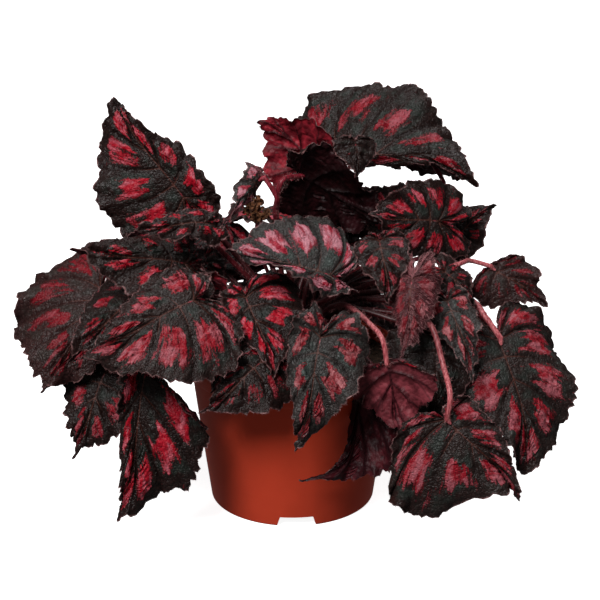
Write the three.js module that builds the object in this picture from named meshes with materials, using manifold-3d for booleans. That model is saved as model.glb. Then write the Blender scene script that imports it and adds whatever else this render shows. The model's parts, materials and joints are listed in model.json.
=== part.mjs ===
// A potted rex begonia: a tapered plastic nursery pot, the root ball in it, and a rhizome whose hairy stalks
// each carry one lopsided, heart-shaped blade with a waved edge.
//
// Millimetres, +Z up. The origin is the middle of the pot's base, on the surface that it stands on. The plant
// is looked at along +Y, so -Y is its front.

import * as THREE from 'three';
import { mergeVertices } from 'three/addons/utils/BufferGeometryUtils.js';
import Module from 'manifold-3d';

const wasm = await Module();
wasm.setup();

// ---------------------------------------------------------------- driving dimensions

const GAP = 0.3; // between two pieces that touch

const POT_HEIGHT = 108;
const POT_BASE_RADIUS = 56;
const POT_TAPER = 0.13; // radius gained for each millimetre of height
const POT_WALL = 1.4;
const POT_FLOOR = 1.8;
const POT_FACETS = 40;
const COLLAR_HEIGHT = 17; // the band round the top
const COLLAR_STEP = 1.3; // how far it stands out
const LIP_ROUNDING = 1.2;
const HEEL_ROUNDING = 1.5;

const NOTCH_COUNT = 3;
const NOTCH_TURN = THREE.MathUtils.degToRad(3); // the front one is a little to the right
const NOTCH_WIDTH = 26;
const NOTCH_TOP_WIDTH = 22;
const NOTCH_HEIGHT = 7;
const NOTCH_DEPTH = 14;
const NOTCH_OVERRUN = 5; // how far the cut runs out past the wall

const SOIL_TOP = 98; // height of the soil
const SOIL_CROWN = 2.5; // its middle is this much higher than its edge
const SOIL_SHOULDER = [0.6, 0.7]; // a place on the slope, as shares of the radius and of that rise
const ROOT_HOLE_RADIUS = 12;
const ROOT_HOLE_DEPTH = 26;

const RHIZOME_LENGTH = 64;
const RHIZOME_WIDTH = 40;
const RHIZOME_THICKNESS = 15;
const STALK_RADIUS = 2.1;
const STALK_SIDES = 5;
const STALK_STEPS = 6;
const STALK_SPREAD = 0.46; // how far out on the rhizome a level stalk's foot is, as a share of its size
const STALK_RISE = 0.3; // a stalk first goes up by this share of the distance to its end,
const STALK_LEAN = 0.12; // and out by this share
const STALK_LEAD = 0.18; // the share of that distance that it runs straight into the blade,
const STALK_LEAD_MOST = 16; // up to this
const STALK_ENTRY = [0.75, 0.65]; // how far it usually points along the midrib, and up, as it gets there
const STALK_CLEARANCE = 0.4; // its end's distance from the blade, over the usual gap

const BUD_PLACE = [-23, -6, 204]; // the dried bud cluster
const BUD_LUMPS = [[0, 0, 0, 5], [5.5, -2, -2, 3.6], [-5.5, -1, 1, 3.8], [1, 0, 6, 3.2], [-1, -3, -4, 3.4]];
const BUD_STEM_DROP = 9; // from the cluster's middle to the top of its stem
const BUD_STEM_RADIUS = 1.4;

const BLADE_THICKNESS = 0.8;
const RING_REACH = [0.36, 0.7, 1]; // rings of vertices, as shares of the way from the hilt to the edge
const RING_COUNT = [10, 20, 30]; // and how many vertices each has
const RUFFLE_HEIGHT = 0.05; // the edge's waves, as a share of the blade's length
const RUFFLE_WAVES = 7; // and how many go round the blade
const SCALLOP_DEPTH = 0.035; // the edge's shallow lobes, as a share of the reach
const SCALLOP_COUNT = 11;
const BOW_PEAK = 4 / 27; // the greatest value of x * x * (1 - x)
const HALF_WIDTH = 0.55; // of the outline below

// Half of a blade's flat outline, for a blade one unit long: how far along the midrib from the hilt, and how
// far out to the side, from the tip round to the notch where the stalk comes in.
const HALF_OUTLINE = [
  [1.0, 0.0],
  [0.88, 0.07],
  [0.7, 0.22],
  [0.45, 0.42],
  [0.15, 0.55],
  [-0.15, 0.52],
  [-0.38, 0.36],
  [-0.42, 0.19],
  [-0.28, 0.07],
  [-0.06, 0.0],
].map(([along, out]) => new THREE.Vector2(along, out));

// ---------------------------------------------------------------- the leaves
//
// hilt, tip   where the stalk meets the blade, and the blade's point
// face        the way that the upper face looks
// wide        how wide the left and right halves are, 1 being the outline above; left is left of the midrib
//             as seen from above the blade with its tip ahead
// ears        how far the left and right lobes reach back past the hilt, 1 being the outline above
// arch        how far the midrib bends down between the hilt and the tip, in degrees
// heel        how far the ears bend down, in degrees
// droop       how far the left and right halves bend down, in degrees; cupped halves have less than 0
// keel        how steeply both halves leave the midrib, in degrees
// full        how much is added to the left and right halves towards the tip, as a share of the length
// swing       how far the left and right halves are pushed towards the tip, as a share of how far out they go
// sweep       how far the midrib bows to the left, as a share of the length
// twist       how far the blade is turned about its midrib from the hilt to the tip, in degrees
// ruffle      how strong the waves of its edge are
// phase       where the waves start, in turns
// via         points that the stalk passes
// stalk       the way that the stalk runs as it reaches the blade
// over        true where the stalk comes in over the upper face

const USUAL = {
  wide: [1, 0.72],
  ears: [1, 0.85],
  arch: 30,
  heel: 20,
  droop: [20, 20],
  keel: 4,
  full: [0, 0],
  swing: [0, 0],
  sweep: 0.05,
  twist: 0,
  ruffle: 1,
  phase: 0,
  via: [],
};

const LEAVES = [
  // along the top, left to right
  { name: 'leaf_top_left', hilt: [-71, 0, 211], tip: [-116, 22, 273], face: [-0.1, -0.95, 0.3],
    wide: [1.12, 0.46], ears: [1.0, 0.8], arch: 22, droop: [10, 20], full: [0.1, 0], sweep: 0.04 },
  { name: 'leaf_top_left_young', hilt: [-56, -24, 201], tip: [-102, -48, 201], face: [0.05, -0.6, 0.8],
    wide: [0.45, 0.5], ears: [0.8, 0.8], arch: 40, droop: [40, 50] },
  { name: 'leaf_streaked_folded', hilt: [-20, -2, 226], tip: [-48, -19, 198], face: [0.5, -0.8, -0.3],
    wide: [0.5, 0.45], ears: [0.2, 0.2], arch: 20, droop: [50, 50], keel: 20, via: [[-11, 4, 200]],
    stalk: [-0.5, 0.1, 0.85], over: true },
  { name: 'leaf_top_rolled', hilt: [17, 27, 226], tip: [-22, 38, 254], face: [-0.3, 0.8, 0.5],
    wide: [1.1, 1.2], ears: [0, 0], arch: 20, droop: [30, 30], keel: 0, swing: [0, 0.25],
    via: [[27, 42, 190]], stalk: [-0.4, 0.2, 1] },
  { name: 'leaf_top_rolled_lobe', hilt: [41, 1, 249], tip: [42, -8, 227], face: [0.3, -0.9, 0.2],
    wide: [1.15, 1.15], ears: [0.3, 0.3], arch: 20, via: [[30, 38, 185], [36, 24, 222]],
    stalk: [0, -0.3, 1] },
  { name: 'leaf_top_hanging', hilt: [5, 13, 224], tip: [68, 17, 184], face: [-0.1, 0.8, 0.6],
    wide: [0.85, 0.8], ears: [0.1, 0.5], arch: 20, via: [[-10, 6, 190]] },
  { name: 'leaf_top_arched', hilt: [29, 45, 230], tip: [121, 17, 214], face: [0.1, -0.85, 0.5],
    wide: [1.12, 0.15], ears: [1.25, 0.7], arch: 50, droop: [20, 60], full: [0.05, 0], swing: [0.1, 0],
    sweep: 0.06 },
  { name: 'leaf_top_behind', hilt: [100, 78, 214], tip: [53, 96, 213], face: [0, 0.5, 0.85],
    wide: [0.9, 0.8], via: [[94, 64, 180]] },

  // the right side
  { name: 'leaf_right_high', hilt: [96, -1, 195], tip: [50, -14, 204], face: [-0.1, -0.85, 0.5],
    wide: [0.95, 1.1], ears: [1.5, 1.5], full: [0, 0.09] },
  { name: 'leaf_right_high_back', hilt: [77, 38, 184], tip: [46, 34, 208], face: [0.1, -0.9, 0.4],
    wide: [1.0, 1.0], ears: [0.7, 0.7] },
  { name: 'leaf_back_top', hilt: [36, 64, 174], tip: [46, 100, 138], face: [0, 0.4, 0.9],
    wide: [0.9, 0.5], ears: [1, 0.5] },
  { name: 'leaf_right_high_behind', hilt: [111, 38, 171], tip: [137, 44, 192], face: [0.2, -0.7, 0.6],
    wide: [0.8, 0.8] },
  { name: 'leaf_right_spotted', hilt: [56, -34, 192], tip: [60, -60, 158], face: [-0.1, -0.8, 0.6],
    wide: [0.75, 0.7], ears: [0.5, 0.4] },
  { name: 'leaf_right_young', hilt: [76, -54, 173], tip: [69, -76, 129], face: [-0.3, -0.9, 0.3],
    wide: [0.65, 0.6], keel: 30 },
  { name: 'leaf_right_dark', hilt: [100, -19, 166], tip: [117, -26, 148], face: [0.3, -0.7, 0.6],
    wide: [0.8, 0.8], via: [[84, -24, 150]] },
  { name: 'leaf_right_striped', hilt: [100, -40, 153], tip: [113, -72, 111], face: [0.1, -0.9, 0.35],
    wide: [0.5, 0.55], ears: [0.45, 0.45] },
  { name: 'leaf_right_inner', hilt: [94, -51, 131], tip: [84, -68, 68], face: [0, -0.9, 0.4],
    wide: [0.6, 0.85], ears: [0.5, 0.2] },
  { name: 'leaf_far_right_small', hilt: [132, 5, 161], tip: [167, 0, 136], face: [0.2, -0.8, 0.5],
    wide: [0.85, 1.0], ears: [0.1, 0.2], swing: [0.6, 0], via: [[88, -6, 160], [112, -9, 169]],
    stalk: [0.9, 0.2, -0.3], over: true },
  { name: 'leaf_right_large', hilt: [135, -35, 124], tip: [148, -72, 45], face: [0.3, -0.85, 0.4],
    wide: [0.95, 0.88], ears: [0.8, 1.35], arch: 50, full: [0.12, 0], via: [[117, -20, 147]],
    stalk: [0.56, -0.45, -0.7], over: true },
  { name: 'leaf_right_low', hilt: [97, -90, 92], tip: [143, -99, 40], face: [0.1, -0.9, 0.35],
    wide: [0.55, 1.65], ears: [0.3, 0.8], full: [0, -0.18], swing: [0.1, 0.35],
    via: [[72, -38, 138], [87, -62, 146], [95, -78, 124]], stalk: [-0.1, 0.12, -1], over: true },
  { name: 'leaf_right_underside', hilt: [60, -82, 128], tip: [70, -86, 82], face: [0.3, 0.8, -0.4],
    wide: [1.0, 1.2], ears: [0.05, 0.05], swing: [0.35, 0.3], via: [[34, -50, 154], [50, -71, 148]],
    stalk: [0.2, -0.25, -1] },

  // the front
  { name: 'leaf_front_hanging_back', hilt: [50, -58, 108], tip: [8, -80, 46], face: [0.1, 0.9, -0.2],
    wide: [0.15, 0.75], ears: [0.2, 0.2], swing: [0, 0.5], sweep: -0.2 },
  { name: 'leaf_front_centre', hilt: [18, -85, 145], tip: [1, -108, 78], face: [-0.1, -0.9, 0.4],
    wide: [0.75, 0.48], ears: [0.7, 0.6] },
  { name: 'leaf_centre_shiny', hilt: [24, -62, 178], tip: [-40, -62, 196], face: [0.05, -0.6, 0.8],
    wide: [0.3, 1.45], ears: [0.6, 0.6], full: [0, 0.1] },
  { name: 'leaf_centre_left', hilt: [-29, -58, 162], tip: [-12, -88, 119], face: [0, -0.8, 0.6],
    wide: [1.15, 0.5], ears: [0.7, 0.5] },
  { name: 'leaf_front_low_left', hilt: [-19, -80, 127], tip: [-56, -94, 99], face: [0, -0.8, 0.6],
    wide: [1.1, 0.6] },
  { name: 'leaf_left_large', hilt: [-61, -72, 165], tip: [-131, -104, 139], face: [-0.1, -0.75, 0.65],
    wide: [1.1, 0.62], ears: [0.6, 0.5], full: [0.03, 0] },
  { name: 'leaf_inner_left', hilt: [-34, -50, 124], tip: [-50, -74, 106], face: [-0.2, -0.8, 0.6],
    wide: [0.9, 0.9], ears: [0.6, 0.6] },
  { name: 'leaf_inner_right', hilt: [30, -63, 126], tip: [44, -76, 100], face: [0.1, -0.9, 0.4],
    wide: [0.7, 0.7], ears: [0.6, 0.6] },

  // the left side
  { name: 'leaf_left_hanging', hilt: [-92, -75, 118], tip: [-113, -88, 22], face: [-0.1, -0.95, 0.2],
    wide: [0.8, 0.24], ears: [0.1, 0.5], swing: [0.68, 0.6] },
  { name: 'leaf_left_low', hilt: [-122, -40, 104], tip: [-143, -60, 53], face: [-0.3, -0.8, 0.4],
    wide: [1.15, 0.85] },
  { name: 'leaf_left_middle', hilt: [-97, -34, 157], tip: [-141, -74, 127], face: [-0.3, -0.6, 0.7],
    wide: [0.75, 0.9], ears: [0.25, 0.25] },
  { name: 'leaf_far_left', hilt: [-126, -14, 153], tip: [-161, -52, 95], face: [-0.3, -0.9, 0.3],
    wide: [0.95, 1.25], ears: [0.5, 1.3], swing: [0, 0.45] },
  { name: 'leaf_left_upper', hilt: [-69, -26, 174], tip: [-137, -42, 188], face: [0, -0.65, 0.75],
    wide: [0.72, 0.6], ears: [0.6, 0.5], via: [[-48, -40, 138]] },
  { name: 'leaf_left_inner', hilt: [-66, -6, 163], tip: [-42, -24, 158], face: [0.1, 0.8, 0.6],
    wide: [0.8, 0.6], ears: [0.3, 0.3] },
  { name: 'leaf_left_deep', hilt: [-58, 1, 168], tip: [-48, -3, 150], face: [0, -0.8, 0.6],
    wide: [0.85, 0.95], ears: [0.7, 0.7] },

  // the back
  { name: 'leaf_back_left_high', hilt: [-50, 48, 180], tip: [-98, 92, 184], face: [-0.2, 0.5, 0.85],
    wide: [1.0, 0.75], ears: [1.35, 1.0], heel: 40 },
  { name: 'leaf_back_centre_high', hilt: [-22, 60, 183], tip: [-28, 114, 164], face: [0, 0.5, 0.85],
    wide: [0.5, 0.95], ears: [0.6, 0.85] },
  { name: 'leaf_back_right_high', hilt: [66, 74, 160], tip: [112, 112, 142], face: [0.3, 0.4, 0.85],
    wide: [0.8, 1.0] },
  { name: 'leaf_back_left', hilt: [-104, 44, 140], tip: [-158, 74, 100], face: [-0.5, 0.5, 0.7],
    wide: [1.0, 0.8] },
  { name: 'leaf_back_left_middle', hilt: [-44, 82, 140], tip: [-74, 118, 98], face: [-0.4, 0.5, 0.8],
    wide: [0.95, 0.9] },
  { name: 'leaf_back_right_middle', hilt: [38, 84, 137], tip: [54, 116, 96], face: [0.3, 0.6, 0.8],
    wide: [0.9, 0.9] },
  { name: 'leaf_back_centre', hilt: [-6, 96, 124], tip: [-12, 146, 66], face: [-0.1, 0.8, 0.6],
    wide: [1.0, 0.9], ears: [0.5, 0.5] },
  { name: 'leaf_back_right', hilt: [106, 66, 116], tip: [148, 96, 62], face: [0.5, 0.5, 0.7],
    wide: [0.8, 1.0] },
  { name: 'leaf_back_left_low', hilt: [-72, 84, 104], tip: [-104, 128, 50], face: [-0.4, 0.7, 0.6],
    wide: [0.9, 0.7] },
  { name: 'leaf_back_right_low', hilt: [58, 92, 104], tip: [84, 142, 54], face: [0.3, 0.8, 0.5],
    wide: [0.8, 0.9] },
];

// ---------------------------------------------------------------- helpers

const vector = (point) => new THREE.Vector3(...point);
const radians = THREE.MathUtils.degToRad;

/** A closed solid from a geometry, with its shared vertices merged. */
function solidOf(geometry) {
  const bare = new THREE.BufferGeometry();
  bare.setAttribute('position', geometry.getAttribute('position'));
  if (geometry.index) bare.setIndex(geometry.index);
  const merged = mergeVertices(bare, 1e-4);
  return new wasm.Manifold(new wasm.Mesh({
    numProp: 3,
    vertProperties: Float32Array.from(merged.getAttribute('position').array),
    triVerts: Uint32Array.from(merged.index.array),
  }));
}

/** The geometry of a solid. */
function geometryOf(solid) {
  const mesh = solid.getMesh();
  const geometry = new THREE.BufferGeometry();
  geometry.setAttribute('position', new THREE.BufferAttribute(Float32Array.from(mesh.vertProperties), 3));
  geometry.setIndex(new THREE.BufferAttribute(Uint32Array.from(mesh.triVerts), 1));
  return geometry;
}

/** A solid of revolution round Z, from [radius, height] pairs. */
function turned(profile, facets) {
  const points = profile.map(([radius, height]) => new THREE.Vector2(radius, height));
  return new THREE.LatheGeometry(points, facets).rotateX(Math.PI / 2);
}

// ---------------------------------------------------------------- pot and soil

/** The pot's outer radius at a height, without its collar. */
const potRadius = (height) => POT_BASE_RADIUS + POT_TAPER * height;

/** A solid with the notches cut out of its bottom edge, each with a clearance round it. */
function notched(solid, clearance) {
  const foot = NOTCH_WIDTH / 2 + clearance;
  const top = NOTCH_TOP_WIDTH / 2 + clearance;
  const notch = new THREE.Shape([
    new THREE.Vector2(-foot, -1),
    new THREE.Vector2(foot, -1),
    new THREE.Vector2(foot, 0),
    new THREE.Vector2(top, NOTCH_HEIGHT + clearance),
    new THREE.Vector2(-top, NOTCH_HEIGHT + clearance),
    new THREE.Vector2(-foot, 0),
  ]);
  return Array.from({ length: NOTCH_COUNT }).reduce((left, _, index) => {
    const depth = NOTCH_DEPTH + NOTCH_OVERRUN + clearance;
    const cutter = new THREE.ExtrudeGeometry(notch, { depth, bevelEnabled: false })
      .rotateX(Math.PI / 2) // upright, running back towards the front
      .translate(0, -(POT_BASE_RADIUS - NOTCH_DEPTH - clearance), 0)
      .rotateZ(NOTCH_TURN + (index * 2 * Math.PI) / NOTCH_COUNT);
    return left.subtract(solidOf(cutter));
  }, solid);
}

/** The pot: a thin tapered cup with a collar, and notches that drain it. */
function potGeometry() {
  const collarFoot = POT_HEIGHT - COLLAR_HEIGHT;
  const collarRadius = (height) => potRadius(height) + COLLAR_STEP;
  const inner = (height) => potRadius(height) - POT_WALL;
  const cup = turned([
    [0, 0],
    [POT_BASE_RADIUS - HEEL_ROUNDING, 0],
    [potRadius(HEEL_ROUNDING), HEEL_ROUNDING],
    [potRadius(collarFoot - COLLAR_STEP), collarFoot - COLLAR_STEP],
    [collarRadius(collarFoot), collarFoot],
    [collarRadius(POT_HEIGHT - LIP_ROUNDING), POT_HEIGHT - LIP_ROUNDING],
    [collarRadius(POT_HEIGHT) - LIP_ROUNDING, POT_HEIGHT],
    [inner(POT_HEIGHT), POT_HEIGHT],
    [inner(POT_FLOOR), POT_FLOOR],
    [0, POT_FLOOR],
  ], POT_FACETS);
  return geometryOf(notched(solidOf(cup), 0));
}

/** The root ball: it fills the pot to a little below its lip, with a plain hole for the rhizome's root. */
function soilGeometry() {
  const radius = (height) => potRadius(height) - POT_WALL - GAP;
  const bottom = POT_FLOOR + GAP;
  const ball = solidOf(turned([
    [0, bottom],
    [radius(bottom), bottom],
    [radius(SOIL_TOP), SOIL_TOP],
    [radius(SOIL_TOP) * SOIL_SHOULDER[0], SOIL_TOP + SOIL_CROWN * SOIL_SHOULDER[1]],
    [0, SOIL_TOP + SOIL_CROWN],
  ], POT_FACETS));
  const holeFloor = SOIL_TOP - ROOT_HOLE_DEPTH;
  const hole = new THREE.CylinderGeometry(ROOT_HOLE_RADIUS, ROOT_HOLE_RADIUS, 2 * ROOT_HOLE_DEPTH, 20)
    .rotateX(Math.PI / 2)
    .translate(0, 0, holeFloor + ROOT_HOLE_DEPTH);
  return geometryOf(notched(ball.subtract(solidOf(hole)), GAP));
}

// ---------------------------------------------------------------- blades

const HALF_CURVE = new THREE.SplineCurve(HALF_OUTLINE);

/** The flat outline of a leaf, at a place round its edge: 0 is the tip, 1 and -1 the notch at the hilt. */
function outlineAt(leaf, place) {
  const side = place < 0 ? 1 : 0; // left is 0
  const { x, y } = HALF_CURVE.getPoint(Math.abs(place));
  const fade = Math.sin(Math.PI * Math.abs(place)); // none at the tip and at the notch
  const scallop = 1 + SCALLOP_DEPTH * fade * Math.cos(Math.PI * SCALLOP_COUNT * place);
  const out = y * leaf.wide[side] + (x > 0 ? leaf.full[side] * Math.sin(Math.PI * x ** 2) : 0);
  const along = (x < 0 ? x * leaf.ears[side] : x) + out * leaf.swing[side];
  return [along * scallop, (side ? -out : out) * scallop];
}

/** The frame of a leaf: its length along the bent midrib, and the midrib's start, its normal and its left. */
function frameOf(leaf) {
  const hilt = vector(leaf.hilt);
  const chord = vector(leaf.tip).sub(hilt);
  const reach = chord.length();
  chord.normalize();
  const face = vector(leaf.face);
  face.addScaledVector(chord, -face.dot(chord)).normalize();
  const half = radians(leaf.arch) / 2;
  const along = chord.clone().multiplyScalar(Math.cos(half)).addScaledVector(face, Math.sin(half));
  const normal = face.clone().multiplyScalar(Math.cos(half)).addScaledVector(chord, -Math.sin(half));
  const length = Math.abs(half) < 1e-3 ? reach : (reach * half) / Math.sin(half);
  return { hilt, along, normal, left: normal.clone().cross(along), length };
}

/** How far an arc gets ahead and down, after a stretch of it, for its bend and its first slope. */
function arc(stretch, bend, slope) {
  if (Math.abs(bend) < 1e-4) return [stretch * Math.cos(slope), stretch * Math.sin(slope)];
  const end = slope + bend * stretch;
  return [(Math.sin(end) - Math.sin(slope)) / bend, (Math.cos(slope) - Math.cos(end)) / bend];
}

/** A point of a blade's middle surface, at a share of the way from the hilt to a place round its edge. */
function bladePoint(leaf, share, place) {
  const { hilt, along, normal, left, length } = leaf.frame;
  const [edgeAlong, edgeOut] = outlineAt(leaf, place);
  const stretch = edgeAlong * share;
  const bow = stretch > 0 ? (leaf.sweep * stretch ** 2 * (1 - stretch)) / BOW_PEAK : 0;
  const out = edgeOut * share + bow;

  const bend = radians(stretch > 0 ? leaf.arch : leaf.heel) / length;
  const [ahead, down] = arc(Math.abs(stretch) * length, bend, 0);
  const heading = bend * Math.abs(stretch) * length * Math.sign(stretch);
  const tangent = along.clone().multiplyScalar(Math.cos(heading)).addScaledVector(normal, -Math.sin(heading));
  const up = normal.clone().multiplyScalar(Math.cos(heading)).addScaledVector(along, Math.sin(heading));
  const turn = radians(leaf.twist) * Math.max(stretch, 0);
  const sideways = left.clone().applyAxisAngle(tangent, turn);
  up.applyAxisAngle(tangent, turn);

  const side = out < 0 ? 1 : 0;
  const sideBend = radians(leaf.droop[side]) / (HALF_WIDTH * length);
  const [beside, below] = arc(Math.abs(out) * length, sideBend, radians(leaf.keel));
  const wave = Math.sin(Math.PI * RUFFLE_WAVES * place + 2 * Math.PI * leaf.phase);
  const lift = leaf.ruffle * RUFFLE_HEIGHT * length * share ** 3 * wave * (1 - Math.abs(place) ** 6);
  return hilt.clone()
    .addScaledVector(along, ahead * Math.sign(stretch))
    .addScaledVector(normal, -down)
    .addScaledVector(sideways, beside * (side ? -1 : 1))
    .addScaledVector(up, lift - below);
}

/** Triangles between a ring of vertices and the next one out, of other counts. */
function stitch(faces, innerStart, innerCount, outerStart, outerCount) {
  let inner = 0;
  let outer = 0;
  while (inner < innerCount || outer < outerCount) {
    const innerNow = innerStart + (inner % innerCount);
    const outerNow = outerStart + (outer % outerCount);
    const outerIsNext = (outer + 0.5) / outerCount <= (inner + 0.5) / innerCount;
    if (outer < outerCount && (inner === innerCount || outerIsNext)) {
      faces.push([innerNow, outerNow, outerStart + ((outer + 1) % outerCount)]);
      outer += 1;
    } else {
      faces.push([innerNow, outerNow, innerStart + ((inner + 1) % innerCount)]);
      inner += 1;
    }
  }
}

/** A blade: one sheet, split into triangles alike on both faces, with a strip round its edge. */
function bladeGeometry(leaf) {
  const points = [vector(leaf.hilt)];
  const faces = [];
  let start = 0;
  let count = 1;
  RING_REACH.forEach((share, ring) => {
    const next = points.length;
    const ringCount = RING_COUNT[ring];
    for (let index = 0; index < ringCount; index += 1) {
      points.push(bladePoint(leaf, share, ((2 * index + 1) / ringCount) - 1));
    }
    if (ring === 0) {
      for (let index = 0; index < ringCount; index += 1) {
        faces.push([0, next + index, next + ((index + 1) % ringCount)]);
      }
    } else {
      stitch(faces, start, count, next, ringCount);
    }
    start = next;
    count = ringCount;
  });

  const sheet = new THREE.BufferGeometry().setFromPoints(points).setIndex(faces.flat());
  sheet.computeVertexNormals();
  const normals = sheet.getAttribute('normal');
  const total = points.length;
  const skin = [0.5, -0.5].flatMap((share) => points.map((point, index) => point.clone()
    .addScaledVector(new THREE.Vector3().fromBufferAttribute(normals, index), share * BLADE_THICKNESS)));
  const closed = [...faces, ...faces.map(([a, b, c]) => [c + total, b + total, a + total])];
  for (let index = 0; index < count; index += 1) {
    const here = start + index;
    const next = start + ((index + 1) % count);
    closed.push([here, here + total, next], [next, here + total, next + total]);
  }
  return new THREE.BufferGeometry().setFromPoints(skin).setIndex(closed.flat());
}

// ---------------------------------------------------------------- rhizome and stalks

/** The foot, in the rhizome, of a stem that ends at a point: the more upright, the nearer the middle. */
function rootOf(end) {
  const reach = Math.hypot(end.x, end.y);
  const spread = STALK_SPREAD * (reach / (reach + Math.max(end.z - SOIL_TOP, 0)));
  return new THREE.Vector3(
    (spread * RHIZOME_LENGTH * end.x) / reach,
    (spread * RHIZOME_WIDTH * end.y) / reach,
    SOIL_TOP + SOIL_CROWN + GAP + 0.5 * RHIZOME_THICKNESS,
  );
}

/** A round stem from the rhizome, past some points, to its end, where it runs a given way. */
function stemGeometry(root, via, end, inward, radius) {
  const run = end.distanceTo(root);
  const rise = new THREE.Vector3(
    root.x + (end.x - root.x) * STALK_LEAN,
    root.y + (end.y - root.y) * STALK_LEAN,
    root.z + run * STALK_RISE,
  );
  const before = end.clone().addScaledVector(inward, -Math.min(run * STALK_LEAD, STALK_LEAD_MOST));
  const curve = new THREE.CatmullRomCurve3([root, rise, ...via.map(vector), before, end]);
  const section = new THREE.Shape(Array.from({ length: STALK_SIDES }, (_, side) => {
    const angle = (side * 2 * Math.PI) / STALK_SIDES;
    return new THREE.Vector2(radius * Math.cos(angle), radius * Math.sin(angle));
  }));
  return new THREE.ExtrudeGeometry(section, { steps: STALK_STEPS, extrudePath: curve, bevelEnabled: false });
}

/** A leaf's stalk, from the rhizome to just short of the blade's hilt. */
function stalkGeometry(leaf) {
  const { hilt, along, normal } = leaf.frame;
  const usual = along.clone().multiplyScalar(STALK_ENTRY[0]).addScaledVector(normal, STALK_ENTRY[1]);
  const inward = (leaf.stalk ? vector(leaf.stalk) : usual).normalize();
  const above = leaf.over ? -1 : 1;
  const lean = Math.sqrt(1 - inward.dot(normal) ** 2);
  const clearance = BLADE_THICKNESS / 2 + GAP + STALK_RADIUS * lean + STALK_CLEARANCE;
  const end = hilt.clone().addScaledVector(normal, -clearance * above);
  return stemGeometry(rootOf(hilt), leaf.via, end, inward, STALK_RADIUS);
}

/** The dried bud cluster: a few small lumps grown together. */
function budGeometry() {
  const lumps = BUD_LUMPS.map(([x, y, z, radius]) => solidOf(new THREE.SphereGeometry(radius, 8, 6)
    .translate(BUD_PLACE[0] + x, BUD_PLACE[1] + y, BUD_PLACE[2] + z)));
  return geometryOf(lumps.reduce((all, lump) => all.add(lump)));
}

/** The crown: the rhizome on the soil, its root, and every stalk. */
function crownGeometry() {
  const middle = SOIL_TOP + SOIL_CROWN + GAP + RHIZOME_THICKNESS / 2;
  const rhizome = new THREE.SphereGeometry(0.5, 16, 10)
    .scale(RHIZOME_LENGTH, RHIZOME_WIDTH, RHIZOME_THICKNESS)
    .translate(0, 0, middle);
  const rootRadius = ROOT_HOLE_RADIUS - GAP;
  const rootFoot = SOIL_TOP - ROOT_HOLE_DEPTH + GAP;
  const root = new THREE.CylinderGeometry(rootRadius, rootRadius, middle - rootFoot, 20)
    .rotateX(Math.PI / 2)
    .translate(0, 0, (middle + rootFoot) / 2);
  let crown = solidOf(rhizome).add(solidOf(root));
  LEAVES.forEach((leaf) => {
    crown = crown.add(solidOf(stalkGeometry(leaf)));
  });
  const budStemEnd = new THREE.Vector3(BUD_PLACE[0], BUD_PLACE[1], BUD_PLACE[2] - BUD_STEM_DROP);
  const up = new THREE.Vector3(0, 0, 1);
  const budStem = stemGeometry(rootOf(budStemEnd), [], budStemEnd, up, BUD_STEM_RADIUS);
  return geometryOf(crown.add(solidOf(budStem)));
}

// ---------------------------------------------------------------- the plant

const FINISH = {
  pot: { color: 0xb8422c, roughness: 0.45, metalness: 0 },
  soil: { color: 0x2b1d14, roughness: 0.95, metalness: 0 },
  crown: { color: 0xa8323c, roughness: 0.5, metalness: 0 },
  bud: { color: 0x6e4a30, roughness: 0.8, metalness: 0 },
  blade: { color: 0x3a1820, roughness: 0.4, metalness: 0 },
};

/** A named mesh with a material of its own. */
function piece(name, geometry, finish) {
  const mesh = new THREE.Mesh(geometry, new THREE.MeshStandardMaterial(finish));
  mesh.name = name;
  return mesh;
}

const begonia = new THREE.Group();
LEAVES.forEach((leaf, index) => {
  LEAVES[index] = { ...USUAL, ...leaf };
  LEAVES[index].frame = frameOf(LEAVES[index]);
});
begonia.add(piece('pot', potGeometry(), FINISH.pot));
begonia.add(piece('soil', soilGeometry(), FINISH.soil));
begonia.add(piece('crown', crownGeometry(), FINISH.crown));
begonia.add(piece('dried_buds', budGeometry(), FINISH.bud));
LEAVES.forEach((leaf) => begonia.add(piece(leaf.name, bladeGeometry(leaf), FINISH.blade)));

export default begonia;
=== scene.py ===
"""The looks of a potted rex begonia: fine blades, hairy stalks, a moulded pot and crumbly soil.

Lengths here are in millimetres until a mesh is made, and +Z is up. The plant is looked at along +Y.
"""

import json
import logging
import math
from dataclasses import dataclass, field
from enum import Enum

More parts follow.
